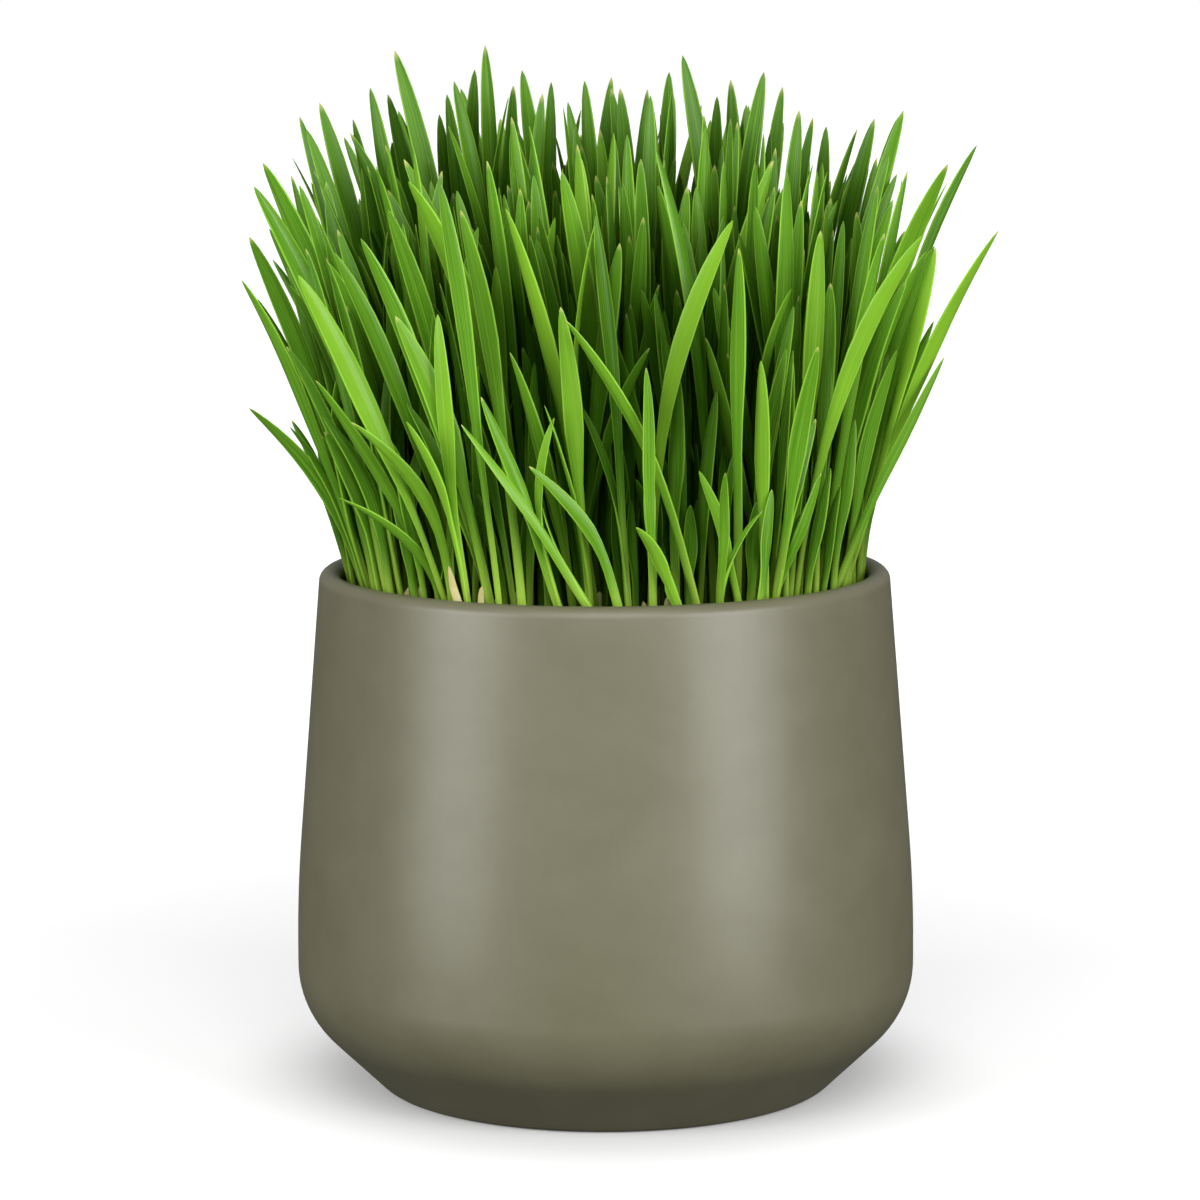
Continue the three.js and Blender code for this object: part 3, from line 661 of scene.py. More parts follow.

# Painted shade: how dark the leaves' colour is made inside the stand, by the leaves between a point and two
# lights, by depth and behind
crowd = {
    "lights": ((-0.35, -0.5, 0.8), (0.35, -0.6, 0.6)),
    "nearest": 2,            # leaf nearer than this does not count
    "spread": 4,
    "widest": 3,             # spreads away from the line to the light
    "fades": 30,
    "darkens": 1.2,
    "power": 0.75,
    "edgeShare": 0.14,
    "inwards": (-1, 18),     # from the edge of the stand
    "upTo": (0.6, 1.14),     # shares of the height
    "depthShare": 0.6,
    "behind": (-25, 35),
    "behindShare": 0.32,
    "rowsAtOnce": 400,
}

mouthRadius = rimX - pot["wallThickness"] - grass["rimClearance"]
reach = dict(zip(("left", "front", "right", "back"),
                 (value / mm for corner in cadBox for value in corner[:2])))


def makeLeaves(rootX, rootY, tipX, tipY, tipZ, width, bend, facing, tone):  # leaves as columns of numbers
    count = len(tipX)
    full = np.broadcast_to
    return {
        "rootX": full(rootX, count), "rootY": full(rootY, count),
        "leanX": (tipX - rootX) * (1 - bend), "leanY": (tipY - rootY) * (1 - bend),
        "curlX": (tipX - rootX) * bend, "curlY": (tipY - rootY) * bend,
        "tipZ": full(tipZ, count), "width": full(width, count), "facing": full(facing, count),
        "tone": full(tone, count), "openFrom": full(grass["openFrom"], count),
        "chance": (tipX * 3.7 + tipY * 1.9 + full(tipZ, count) * 2.3) % 1,  # between 0 and 1
    }


def pick(leaves, which):
    return {key: values[which] for key, values in leaves.items()}


def partShape(leaves, share):  # half width of the part's plain blades and the room that each needs
    full = leaves["width"][:, None] / 2
    widest = grass["widestAt"]
    opening = mix(grass["stemHalfWidth"], full, smoothStep(grass["openFrom"], widest, share))
    past = np.clip((share - widest) / (1 - widest), 0, 1)
    half = np.where(share < widest, opening, full * (1 - past ** grass["tipPower"]))
    thick = mix(grass["stemThickness"], grass["bladeThickness"], smoothStep(0, grass["thinAt"], share))
    return half, thick * grass["thicknessShare"] + grass["gap"]


# Where a leaf is open (0 for its rolled stem, 1 for its flat blade), and where its tip starts
def openShare(leaves, share):
    tall = (leaves["tipZ"] - soilLevel)[:, None]
    usual = blade["tipLength"] * np.sqrt(leaves["width"][:, None] / blade["usualWidth"])
    tipFrom = 1 - np.minimum(usual / tall, blade["longestTip"])
    rolledTo = np.maximum(leaves["openFrom"][:, None], mix(*blade["rolledTo"], leaves["chance"][:, None]))
    return smoothStep(rolledTo, np.maximum(tipFrom, rolledTo + blade["quickestOpening"]), share), tipFrom


# Half width and room of the blades as they look: rolled stem, blade, lance-shaped tip
def bladeShape(leaves, share):
    opened, tipFrom = openShare(leaves, share)
    stem = mix(*blade["stemHalfWidth"], leaves["chance"][:, None])
    past = np.clip((share - tipFrom) / (1 - tipFrom), 0, 1)
    wide = mix(stem, leaves["width"][:, None] / 2, opened ** blade["openingPower"])
    half = wide * (1 - past ** 2) ** blade["tipBluntness"]
    return half, mix(blade["stemRoom"], blade["bladeRoom"], opened)


def leafPath(leaves, share):  # places and directions at shares of the height
    tall = (leaves["tipZ"] - soilLevel)[:, None]
    place = [leaves["root" + axis][:, None] + leaves["lean" + axis][:, None] * share
             + leaves["curl" + axis][:, None] * share ** 3 for axis in "XY"]
    slope = [leaves["lean" + axis][:, None] + 3 * leaves["curl" + axis][:, None] * share ** 2
             for axis in "XY"]
    along = np.stack([slope[0], slope[1], tall * np.ones_like(share)], axis=-1)
    along /= np.linalg.norm(along, axis=-1, keepdims=True)
    return np.stack([place[0], place[1], soilLevel + tall * share], axis=-1), along


def levelCuts(leaves, shape, clearFrom=0.0):  # on each level a straight line across the blade
    levels = np.arange(grass["levels"]) * grass["levelStep"]
    share = levels / (leaves["tipZ"] - soilLevel)[:, None]
    inside = np.minimum(share, 1)
    place, along = leafPath(leaves, inside)
    sideX = -np.sin(leaves["facing"])[:, None]
    sideY = np.cos(leaves["facing"])[:, None]
    slant = np.sqrt(1 - (along[..., 0] * sideX + along[..., 1] * sideY) ** 2)
    half, clear = shape(leaves, inside)
    half = half / slant
    return {
        "x": place[..., 0], "y": place[..., 1], "half": half, "clear": clear,
        "fromX": place[..., 0] - sideX * half, "fromY": place[..., 1] - sideY * half,
        "toX": place[..., 0] + sideX * half, "toY": place[..., 1] + sideY * half,
        "there": (share <= 1) & (share >= clearFrom),
    }


def pointToCut(x, y, cut):
    alongX = cut["toX"] - cut["fromX"]
    alongY = cut["toY"] - cut["fromY"]
    length = np.maximum(alongX * alongX + alongY * alongY, 1e-12)
    share = np.clip(((x - cut["fromX"]) * alongX + (y - cut["fromY"]) * alongY) / length, 0, 1)
    return np.hypot(x - cut["fromX"] - alongX * share, y - cut["fromY"] - alongY * share)


def sideOfCut(x, y, cut):
    return ((cut["toX"] - cut["fromX"]) * (y - cut["fromY"])
            - (cut["toY"] - cut["fromY"]) * (x - cut["fromX"]))


def cutDistance(one, other):
    def ends(measure, cut, line):
        return measure(cut["fromX"], cut["fromY"], line), measure(cut["toX"], cut["toY"], line)

    crossing = np.ones(len(one["x"]), bool)
    nearest = []
    for cut, line in ((one, other), (other, one)):
        start, end = ends(sideOfCut, cut, line)
        crossing &= start * end < 0
        nearest.extend(ends(pointToCut, cut, line))
    return np.where(crossing, 0, np.minimum.reduce(nearest))


def standsClear(cuts, grown, levels):  # for each new leaf: does it cross none that has grown?
    fits = np.ones(len(cuts["x"]), bool)
    if not len(grown["x"]):
        return fits
    x = cuts["x"][:, None, :levels] - grown["x"][None, :, :levels]
    y = cuts["y"][:, None, :levels] - grown["y"][None, :, :levels]
    reach = (cuts["half"] + cuts["clear"])[:, None, :levels] + grown["half"][None, :, :levels]
    both = cuts["there"][:, None, :levels] & grown["there"][None, :, :levels]
    new, old, level = np.nonzero(both & (x * x + y * y <= reach * reach))
    one = {key: values[new, level] for key, values in cuts.items()}
    other = {key: values[old, level] for key, values in grown.items()}
    crossed = cutDistance(one, other) < one["clear"]
    fits[new[crossed]] = False
    return fits


class Bed:  # the leaves grown so far and their cuts
    def __init__(self, room):
        self.count = 0
        self.leaves = []
        self.cuts = None
        self.room = room
        self.placed = 0
        self.waiting = []
        self.shape = partShape
        self.mouth = mouthRadius
        self.front = reach["front"]

    def showBlades(self):  # from here on the leaves have the slender shape that they show
        self.shape = bladeShape
        self.mouth = rimX - pot["wallThickness"] - blade["rimClearance"]
        for index, leaf in enumerate(self.leaves):
            if index >= self.placed:
                self.slim(leaf, 1.0)
            else:
                low, tall = sward["placedWidth"]
                leaf["width"] = leaf["width"] * mix(low, tall, smoothStep(*sward["lowAndTall"], leaf["tipZ"]))
            for key, values in levelCuts(leaf, self.shape).items():
                self.cuts[key][index] = values[0]

    def slim(self, leaves, widthShare):  # sown leaves: narrower than those placed, and a deeper green that is painted shade among them
        leaves["width"] = leaves["width"] * sward["shownWidth"] * widthShare
        leaves["tone"] = leaves["tone"] * sward["shownTone"]
        highest = mix(*sward["shownHeight"], (leaves["rootX"] / grassRadius) ** 2)
        highest = highest - sward["shownSpread"] * leaves["chance"] ** 2
        leaves["tipZ"] = np.minimum(leaves["tipZ"], highest)
        return leaves

    def keep(self, leaf, cut):
        if self.cuts is None:
            self.cuts = {key: np.zeros((self.room, values.shape[1]), values.dtype)
                         for key, values in cut.items()}
        for key, values in cut.items():
            self.cuts[key][self.count] = values[0]
        self.leaves.append(leaf)
        self.count += 1

    def tryLeaves(self, candidates, clearFrom=0.0):  # keeps the first that has a clear place
        cuts = levelCuts(candidates, self.shape, clearFrom)
        inRim = soilLevel + np.arange(grass["levels"]) * grass["levelStep"] < pot["height"]
        radius = np.maximum(np.hypot(cuts["fromX"], cuts["fromY"]), np.hypot(cuts["toX"], cuts["toY"]))
        tipX = candidates["rootX"] + candidates["leanX"] + candidates["curlX"]
        tipY = candidates["rootY"] + candidates["leanY"] + candidates["curlY"]
        fits = (radius[:, inRim] < self.mouth).all(axis=1)
        fits &= (tipX > reach["left"]) & (tipX < reach["right"])
        fits &= (tipY > self.front) & (tipY < reach["back"])
        grown = {key: values[:self.count] for key, values in (self.cuts or cuts).items()}
        fits &= standsClear(cuts, grown, grass["lowLevels"])
        for at in np.nonzero(fits)[0]:
            cut = {key: values[at:at + 1] for key, values in cuts.items()}
            if standsClear(cut, grown, grass["levels"])[0]:
                self.keep(pick(candidates, slice(at, at + 1)), cut)
                return True
        return False


def slide(x, y, z, depth):  # a point moved along the sight line through it
    share = (y + depth - eye["y"]) / (y - eye["y"])
    return x * share, y + depth, eye["z"] + (z - eye["z"]) * share


def placedCandidates(row, index):
    rootX, rootY, tipX, tipY, tipZ, width, bend, tone = row
    draws = seededDraws(sward["seed"] - 1 - index, 2)
    turn = math.radians((draws.sum() - 1) * sward["placedFacingSpread"])
    tall = (tipZ - soilLevel) / (sward["tipHeight"] - soilLevel)
    forward = min(rootY, 0) * grass["forwardLean"] * tall
    slides = forward + np.array(tipSlides)
    tips = slide(np.full(len(slides), float(tipX)), np.full(len(slides), float(tipY)), tipZ, slides)
    roots = []
    for step in rootSteps:
        for depth in rootSlides:
            x, y, _ = slide(rootX + step, rootY, soilLevel, depth)
            x, y = settleIn(rootBalls[ballAt(x, y)], x, y)
            roots.extend([(float(x), float(y))] * len(slides))
    roots = np.array(roots)
    repeats = len(roots) // len(slides)
    return makeLeaves(roots[:, 0], roots[:, 1], np.tile(tips[0], repeats), np.tile(tips[1], repeats),
                      np.tile(tips[2], repeats), width, bend, -math.pi / 2 + turn, tone)


# Leaves sown at x and y, with one row of draws for each
def sownLeaves(draws, x, y, lowered, shortShare):
    spread = [draws[:, at] + draws[:, at + 1] - 1 for at in (0, 4, 6, 10)]
    edge = np.hypot(x, y) / grassRadius
    outward = np.arctan2(y, x)
    lean = sward["outwardLean"] * edge
    grown = (sward["tipHeight"] - lowered + sward["backRise"] * y / grassRadius
             + sward["heightSpread"] * spread[0] - sward["edgeDrop"] * edge ** 4)
    short = mix(*sward["shortHeight"], draws[:, 2])
    tipZ = np.clip(np.where(draws[:, 3] < shortShare, short, grown), sward["lowestTip"], sward["highestTip"])
    tall = (tipZ - soilLevel) / (sward["tipHeight"] - soilLevel)
    tipX = x + (lean * np.cos(outward) + sward["leanSpread"] * spread[1] + sward["sidewaysDrift"]) * tall
    tipY = y + (lean * np.sin(outward) + sward["leanSpread"] * spread[2]) * tall
    width = mix(*sward["width"], draws[:, 8]) * mix(sward["shortWidthShare"], 1, np.minimum(tall, 1))
    bend = mix(*sward["bend"], draws[:, 9])
    facing = outward + spread[3] * math.radians(sward["facingSpread"])
    return makeLeaves(x, y, tipX, tipY, tipZ, width, bend, facing, draws[:, 8])


def sownCandidates(index):
    ball = rootBalls[index % len(rootBalls)]
    draws = drawTable(sward["seed"] + index, grass["attempts"], sward["drawsEach"])
    reach = np.sqrt(mix(ball["inner"] ** 2, ball["outer"] ** 2, draws[:, 0]))
    angle = mix(ball["start"], ball["end"], draws[:, 1])
    x, y = settleIn(ball, reach * np.cos(angle), reach * np.sin(angle))
    return sownLeaves(draws[:, 2:], x, y, 0, sward["shortShare"])


def growPartLeaves(bed):
    for index in range(grass["sown"]):
        if index < len(placedLeaves):
            if bed.tryLeaves(placedCandidates(placedLeaves[index], index)):
                bed.placed += 1
            else:
                bed.waiting.append(index)
        else:
            bed.tryLeaves(sownCandidates(index))


def growBetween(bed):
    wanted = bed.count + extra["most"]
    bed.front = extra["frontTip"]
    for index in range(extra["seeds"]):
        draws = drawTable(extra["seed"] + index, extra["attempts"], sward["drawsEach"])
        inner = extra["edgeRadius"] * (index % 10 < extra["tenthsAtEdge"])
        distance = np.sqrt(mix(inner ** 2, extra["rootRadius"] ** 2, draws[:, 0]))
        angle = fullTurn * draws[:, 1]
        x = distance * np.cos(angle)
        y = np.maximum(distance * np.sin(angle), extra["frontRoot"])
        lowered = mix(*extra["loweredBy"], y / grassRadius / 2 + 0.5)
        leaves = sownLeaves(draws[:, 2:], x, y, lowered, extra["shortShare"])
        turned = math.radians(extra["facingSpread"]) * (draws[:, 12] + draws[:, 13] - 1)
        leaves["facing"] = turned - math.pi / 2
        leaves["tone"] = leaves["tone"] * extra["toneShare"]
        freeX, freeY, radius = extra["leftFree"]
        leaves = pick(leaves, np.hypot(x - freeX, y - freeY) > radius)
        bed.tryLeaves(bed.slim(leaves, extra["widthShare"]))
        if bed.count >= wanted:
            return


def growSecondLeaves(bed):
    for index in range(bed.count):
        draws = seededDraws(secondLeaf["seed"] + index, 1 + secondLeaf["attempts"] * secondLeaf["drawsEach"])
        if draws[0] > secondLeaf["share"]:
            continue
        draws = draws[1:].reshape(secondLeaf["attempts"], secondLeaf["drawsEach"])
        first = bed.leaves[index]
        tall = first["tipZ"] - soilLevel
        share = mix(*secondLeaf["height"], draws[:, 0])
        leaves = {key: np.repeat(values, len(draws)) for key, values in first.items()}
        leaves["tipZ"] = np.minimum(soilLevel + tall * share, sward["highestTip"])
        leaves["leanX"] = leaves["leanX"] * share
        leaves["leanY"] = leaves["leanY"] * share
        turn = leaves["facing"] + math.pi * (draws[:, 1] + draws[:, 2])
        curl = mix(*secondLeaf["curl"], draws[:, 3]) * share
        leaves["curlX"] = curl * np.cos(turn)
        leaves["curlY"] = curl * np.sin(turn)
        leaves["facing"] = turn + math.radians(sward["facingSpread"]) * (draws[:, 4] - 0.5)
        leaves["openFrom"] = mix(*secondLeaf["opensAt"], draws[:, 5])
        leaves["width"] = leaves["width"] * mix(*secondLeaf["widthShare"], draws[:, 6])
        paler = secondLeaf["toneSpread"] * (draws[:, 6] - secondLeaf["toneMiddle"])
        leaves["tone"] = np.clip(leaves["tone"] + paler, 0, 1)
        bed.tryLeaves(leaves, (leaves["openFrom"] + secondLeaf["clearFrom"])[:, None])


bed = Bed(room=1800)
growPartLeaves(bed)
print("part's leaves grown:", bed.count)
bed.showBlades()
for index in bed.waiting:
    bed.tryLeaves(placedCandidates(placedLeaves[index], index))
print("with placed ones that wanted more room:", bed.count)
growSecondLeaves(bed)
print("with second leaves:", bed.count)
growBetween(bed)
print("with those between:", bed.count)
allLeaves = {key: np.concatenate([leaf[key] for leaf in bed.leaves]) for key in bed.leaves[0]}


# Leaf shape: each leaf is a guide line whose points know where its two edges and its face are

def bladeTree():
    tree, inputs = startTree("barleyBlades", {
        "Sides": "Int", "Across name": "String", "Material": "Material"})

    def read(name, kind="FLOAT"):
        return namedValue(tree, name, kind)

    def store(geometry, name, value):
        return addNode(tree, "GeometryNodeStoreNamedAttribute", {
            "Geometry": geometry, "Name": name, "Value": value}).outputs[0]

    guides = addNode(tree, "GeometryNodeMeshToCurve", {"Mesh": inputs["Geometry"]}).outputs[0]
    ring = addNode(tree, "GeometryNodeCurvePrimitiveCircle", {"Resolution": inputs["Sides"], "Radius": 1.0})
    corner = split(tree, positionOf(tree))
    profile = store(store(ring.outputs[0], "turned", corner["X"]), "lift", corner["Y"])
    skin = addNode(tree, "GeometryNodeCurveToMesh", {
        "Curve": guides, "Profile Curve": profile, "Fill Caps": True}).outputs[0]
    turned = read("turned")
    flattened = calculate(tree, "MULTIPLY", read("open"), blade["flattening"])
    power = calculate(tree, "SUBTRACT", 1.0, flattened)
    away = calculate(tree, "POWER", calculate(tree, "ABSOLUTE", turned), power)
    across = calculate(tree, "MULTIPLY", away, calculate(tree, "SIGN", turned))
    bowl = calculate(tree, "POWER", away, blade["channelPower"])
    bowl = calculate(tree, "SUBTRACT", bowl, blade["channelMiddle"])
    raised = calculate(tree, "MULTIPLY", bowl, read("channel"))
    height = calculate(tree, "ADD", calculate(tree, "MULTIPLY", read("lift"), read("halfThickness")), raised)
    sideways = scaled(tree, read("sideways", "FLOAT_VECTOR"), across)
    outwards = scaled(tree, read("face", "FLOAT_VECTOR"), height)
    place = combine(tree, "ADD", read("centre", "FLOAT_VECTOR"), combine(tree, "ADD", sideways, outwards))
    shaped = addNode(tree, "GeometryNodeSetPosition", {
        "Geometry": store(skin, inputs["Across name"], across), "Position": place})
    endTree(tree, shaped.outputs[0], inputs["Material"])
    return tree


# Painted shade: this share darkens the leaves' colour and takes away their gloss
def shadeAt(centre, half):  # from 0 for a point in full light to 1 for one deep inside the stand
    height = np.clip((centre[..., 2] - soilLevel) / (sward["tipHeight"] - soilLevel), 0, 1)
    edge = grassRadius + sward["outwardLean"] * height
    inwards = edge - np.hypot(centre[..., 0], centre[..., 1])
    depth = smoothStep(*crowd["inwards"], inwards) * (1 - smoothStep(*crowd["upTo"], height))
    behind = crowd["behindShare"] * smoothStep(*crowd["behind"], centre[..., 1])
    crowding = sum(crowdingAt(centre, half, light) for light in crowd["lights"]) / len(crowd["lights"])
    crowding = crowding * mix(crowd["edgeShare"], 1, smoothStep(*crowd["inwards"], inwards))
    lit = (1 - crowd["depthShare"] * depth) * np.exp(-crowd["darkens"] * crowding ** crowd["power"])
    return 1 - lit * (1 - behind)


def crowdingAt(centre, half, light):  # how much leaf there is between a point and the light
    count, rings = centre.shape[:2]
    light = np.array(light) / np.linalg.norm(light)
    points = centre.reshape(-1, 3)
    towards = points @ light
    square = (points ** 2).sum(axis=1)
    owner = np.repeat(np.arange(count), rings)
    step = np.linalg.norm(np.diff(centre, axis=1, prepend=centre[:, :1]), axis=2)
    area = (step * half * 2).ravel()
    crowding = np.zeros(len(points))
    for start in range(0, len(points), crowd["rowsAtOnce"]):
        rows = slice(start, start + crowd["rowsAtOnce"])
        along = towards[None, :] - towards[rows, None]
        gap = square[None, :] + square[rows, None] - 2 * points[rows] @ points.T - along ** 2
        counted = (along > crowd["nearest"]) & (gap < (crowd["widest"] * crowd["spread"]) ** 2)
        row, column = np.nonzero(counted & (owner[None, :] != owner[rows, None]))
        off = gap[row, column] / (2 * crowd["spread"] ** 2)
        weight = area[column] * np.exp(-off - along[row, column] / crowd["fades"])
        crowding[rows] = np.bincount(row, weight, minlength=along.shape[0])
    return crowding.reshape(count, rings) / (math.tau * crowd["spread"] ** 2)


def guideArrays(leaves):
    count = len(leaves["tipZ"])
    share = np.broadcast_to(np.array(blade["ringsAt"]), (count, len(blade["ringsAt"])))
    draws = drawTable(blade["seed"], 5, count)[:, :, None]
    centre, along = leafPath(leaves, share)
    twist = (draws[0] - 0.5) * 2 * math.radians(blade["twist"])
    facing = leaves["facing"][:, None] + twist * smoothStep(blade["twistFrom"], 1, share)
    side = np.stack([-np.sin(facing), np.cos(facing), np.zeros_like(facing)], axis=-1)
    side -= (side * along).sum(axis=-1, keepdims=True) * along
    side /= np.linalg.norm(side, axis=-1, keepdims=True)
    face = np.cross(along, side)
    waved = blade["wave"] * share * np.sin(fullTurn * (share * blade["wavesEach"] + draws[1])) * (1 - share)
    curling = np.clip((share - blade["curlFrom"]) / (1 - blade["curlFrom"]), 0, 1) ** 2
    curled = blade["tipCurl"] * (draws[2] - blade["curlMiddle"]) * curling
    centre = centre + side * waved[..., None] + face * curled[..., None]
    centre[:, 0, 2] -= blade["sunk"]
    half = np.maximum(bladeShape(leaves, share)[0], blade["tipHalfWidth"])
    opened = openShare(leaves, share)[0]
    thinned = mix(1, blade["thinTo"], smoothStep(blade["thinFrom"], 1, share))
    thick = mix(blade["stemThickness"], blade["thickness"], opened) * thinned
    channel = mix(*blade["channel"], draws[4]) * half * opened
    return {
        "centre": centre * mm, "sideways": side * half[..., None] * mm, "face": face,
        "halfThickness": thick / 2 * mm, "channel": channel * mm, "open": opened, "along": share,
        "tone": np.broadcast_to(leaves["tone"][:, None], share.shape),
        "shade": shadeAt(centre, half),
        "chance": np.broadcast_to(leaves["chance"][:, None], share.shape),
    }


def addGuides(name, arrays):  # a mesh of loose guide lines with what their points know
    count, rings = arrays["along"].shape
    vertices = arrays["centre"].reshape(-1, 3)
    starts = np.arange(count * rings).reshape(count, rings)
    edges = np.stack([starts[:, :-1].ravel(), starts[:, 1:].ravel()], axis=1)
    piece = addPiece(name, vertices.tolist(), edges.tolist())
    for key, values in arrays.items():
        storeValues(piece, key, values, "FLOAT_VECTOR" if values.ndim == 3 else "FLOAT")
    return piece


def skinGuides(piece, tree, material):
    runTree(piece, tree, {"Sides": blade["sides"], "Across name": "across", "Material": material})
    for key in ("centre", "sideways", "face", "halfThickness", "channel", "open", "lift", "turned"):
        piece.data.attributes.remove(piece.data.attributes[key])
    return piece


leafTones = {
    "deep": "#3c7c0a",
    "middle": "#569812",
    "bright": "#94ce30",
    "foot": "#b8dc52",
    "vein": "#a8da4c",
    "rim": "#b4f050",
    "tip": "#d6dc78",
    "shade": "#0c3200",
    "through": "#e8ffb0",
    "layers": [  # over the deep green: a colour, what its share follows, from, to, and the share at both
        ("middle", "tone", 0, 0.55, 0, 1),
        ("bright", "tone", 0.5, 1, 0, 1),
        ("vein", "veins", 0.35, 0.65, 0, 0.42),
        ("deep", "mottle", 0.3, 0.7, 0, 0.14),
        ("rim", "away", 0.02, 0.1, 0.14, 0),
        ("rim", "away", 0.78, 0.92, 0, 0.8),
        ("tip", "along", 0.978, 0.998, 0, 0.9),
        ("foot", "along", 0.04, 0.42, 0.85, 0),
        # painted shade: the stored shade turns the colour towards a near-black green
        ("shade", "shade", 0, 1, 0, 0.9),
    ],
    "paleTips": (0.35, 0.8),   # by chance: none at the first value, all at the second
    "roughness": 0.33,
    "ior": 1.45,
    "gloss": 0.5,
    "glossUpTo": 0.9,          # none in shade deeper than this
    # Across half a blade, along it and from leaf to leaf; a real blade has about twice as many veins
    "veinScales": {"across": 15, "along": 2.5, "chance": 90},
    "veinDetail": 2,
    "bump": (0.5, 0.06),
    "mottleSize": 14,
    "mottleDetail": 2,
    "translucency": 0.25,
}


def storedValue(tree, name):
    return addNode(tree, "ShaderNodeAttribute", attribute_name=name).outputs["Fac"]


# Young barley leaf: a waxy cuticle over thin soft tissue. It gives a satin gloss, fine parallel
# veins, paler edges and foot, and lets some light through
# Inside the stand a painted shade darkens the colour and takes the gloss away
def leafMaterial():
    material, tree, shader = startMaterial("freshBarleyLeaf", leafTones["roughness"], leafTones["ior"])
    known = {name: storedValue(tree, name) for name in ("across", "along", "tone", "chance", "shade")}
    known["away"] = calculate(tree, "ABSOLUTE", known["across"])
    veinPlace = [calculate(tree, "MULTIPLY", known[name], scale)
                 for name, scale in leafTones["veinScales"].items()]
    veinPlace = addNode(tree, "ShaderNodeCombineXYZ", dict(zip("XYZ", veinPlace))).outputs[0]
    known["veins"] = noise(tree, veinPlace, 1.0, leafTones["veinDetail"])
    frequency = 1 / (leafTones["mottleSize"] * mm)
    known["mottle"] = noise(tree, objectPlace(tree), frequency, leafTones["mottleDetail"])
    colour = linearColour(leafTones["deep"])
    for layer, follows, start, end, low, high in leafTones["layers"]:
        share = ranged(tree, known[follows], start, end, low, high)
        if layer == "tip":
            share = calculate(tree, "MULTIPLY", share, ranged(tree, known["chance"], *leafTones["paleTips"]))
        colour = mixColours(tree, share, colour, leafTones[layer])
    paint(tree, shader, colour, known["veins"], *leafTones["bump"])
    # less gloss where the painted shade is deeper
    gloss = ranged(tree, known["shade"], 0, leafTones["glossUpTo"], leafTones["gloss"], 0.0)
    tree.links.new(gloss, shader.inputs["Specular IOR Level"])
    through = addNode(tree, "ShaderNodeBsdfTranslucent", {
        "Color": mixColours(tree, 1.0, colour, leafTones["through"], "MULTIPLY")})
    mixed = addNode(tree, "ShaderNodeMixShader", {
        0: leafTones["translucency"], 1: shader.outputs[0], 2: through.outputs[0]})
    tree.links.new(mixed.outputs[0], tree.nodes["Material Output"].inputs["Surface"])
    return material


def makeTufts():
    tree = bladeTree()
    material = leafMaterial()
    arrays = guideArrays(allLeaves)
    home = np.array([ballAt(x, y) for x, y in zip(allLeaves["rootX"], allLeaves["rootY"])])
    for index in range(len(rootBalls)):
        mine = {key: values[home == index] for key, values in arrays.items()}
        number = f"{index + 1:02d}"
        tuft = skinGuides(addGuides(f"barley_tuft_{number}", mine), tree, material)
        finishPiece(tuft, "grass_leaf", f"tuft_{number}")


# Pale sprouts: sheaths that pushed up and have not opened, dry and papery

sprout = {
    "seed": 31000,
    "count": 46,
    "height": (3.5, 9),
    "lean": 2.2,
    "width": (1.5, 2.1),
    "rootRadius": (30, 49),
    "bend": 0.6,
    "tone": 0.5,
    "placed": [  # two seen at the front rim, then dry scraps of sheath at the left
        (-27.6, -43.2, -30.2, -44.6, 111, 1.6), (-24.4, -45, -23.2, -46.2, 108, 1.3),
        (-42.6, -25.5, -45, -26, 109.6, 1.5), (-41, -28, -42.5, -29.5, 107.2, 1.4),
        (-37.4, -33, -34.8, -34, 106.6, 1.3), (-40, -29.5, -37.6, -30, 105.8, 1.4)],
    "colours": ("#c6c488", "#a58c4c"),
    "roughness": 0.6,
    "streaks": (900, 3),
}


# Dry sheath of a seedling: papery, cream with straw-coloured streaks, matte
def sproutMaterial():
    material, tree, shader = startMaterial("dryBarleySheath", sprout["roughness"])
    streaks = noise(tree, objectPlace(tree), *sprout["streaks"])
    share = calculate(tree, "MULTIPLY", streaks, storedValue(tree, "along"))
    paint(tree, shader, mixColours(tree, share, *sprout["colours"]))
    return material


def makeSprouts():
    draws = drawTable(sprout["seed"], 6, sprout["count"])
    distance = np.sqrt(mix(sprout["rootRadius"][0] ** 2, sprout["rootRadius"][1] ** 2, draws[0]))
    x = distance * np.cos(fullTurn * draws[1])
    y = distance * np.sin(fullTurn * draws[1])
    tips = soilLevel + mix(*sprout["height"], draws[2])
    sown = np.stack([x, y, x + (draws[3] - 0.5) * sprout["lean"], y + (draws[4] - 0.5) * sprout["lean"],
                     tips, mix(*sprout["width"], draws[5])], axis=1)
    rows = np.concatenate([sprout["placed"], sown])
    leaves = makeLeaves(*rows.T, sprout["bend"], -math.pi / 2, sprout["tone"])
    piece = addGuides("pale_sprouts", guideArrays(leaves))
    skinGuides(piece, bpy.data.node_groups["barleyBlades"], sproutMaterial())
    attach(piece, "root")


makeTufts()
makeSprouts()
print("tufts and sprouts made")


# Soil: crumbly, filling the pot to a little under the rim

soil = {
    "gap": 0.3,
    "segments": 96,
    "topRings": 36,
    "wallSteps": 4,
    "edge": 0.1,             # everything higher than this below the level is uneven
    "unevenness": 1.6,
    "lumpSize": 9,
    "lumpDetail": 4,
    "dents": (900, 1),       # scale and detail of the noise that roughens the crumbs
    "crumbsPerSquareMillimetre": 0.22,
    "crumbRadius": (0.35, 1.15),
    "seed": 5,
    "colours": ("#20150c", "#4a3220"),
    "mottle": (260, 4),
    "bump": (0.7, 0.4),
    "roughness": 0.95,
    "ior": 1.35,
}


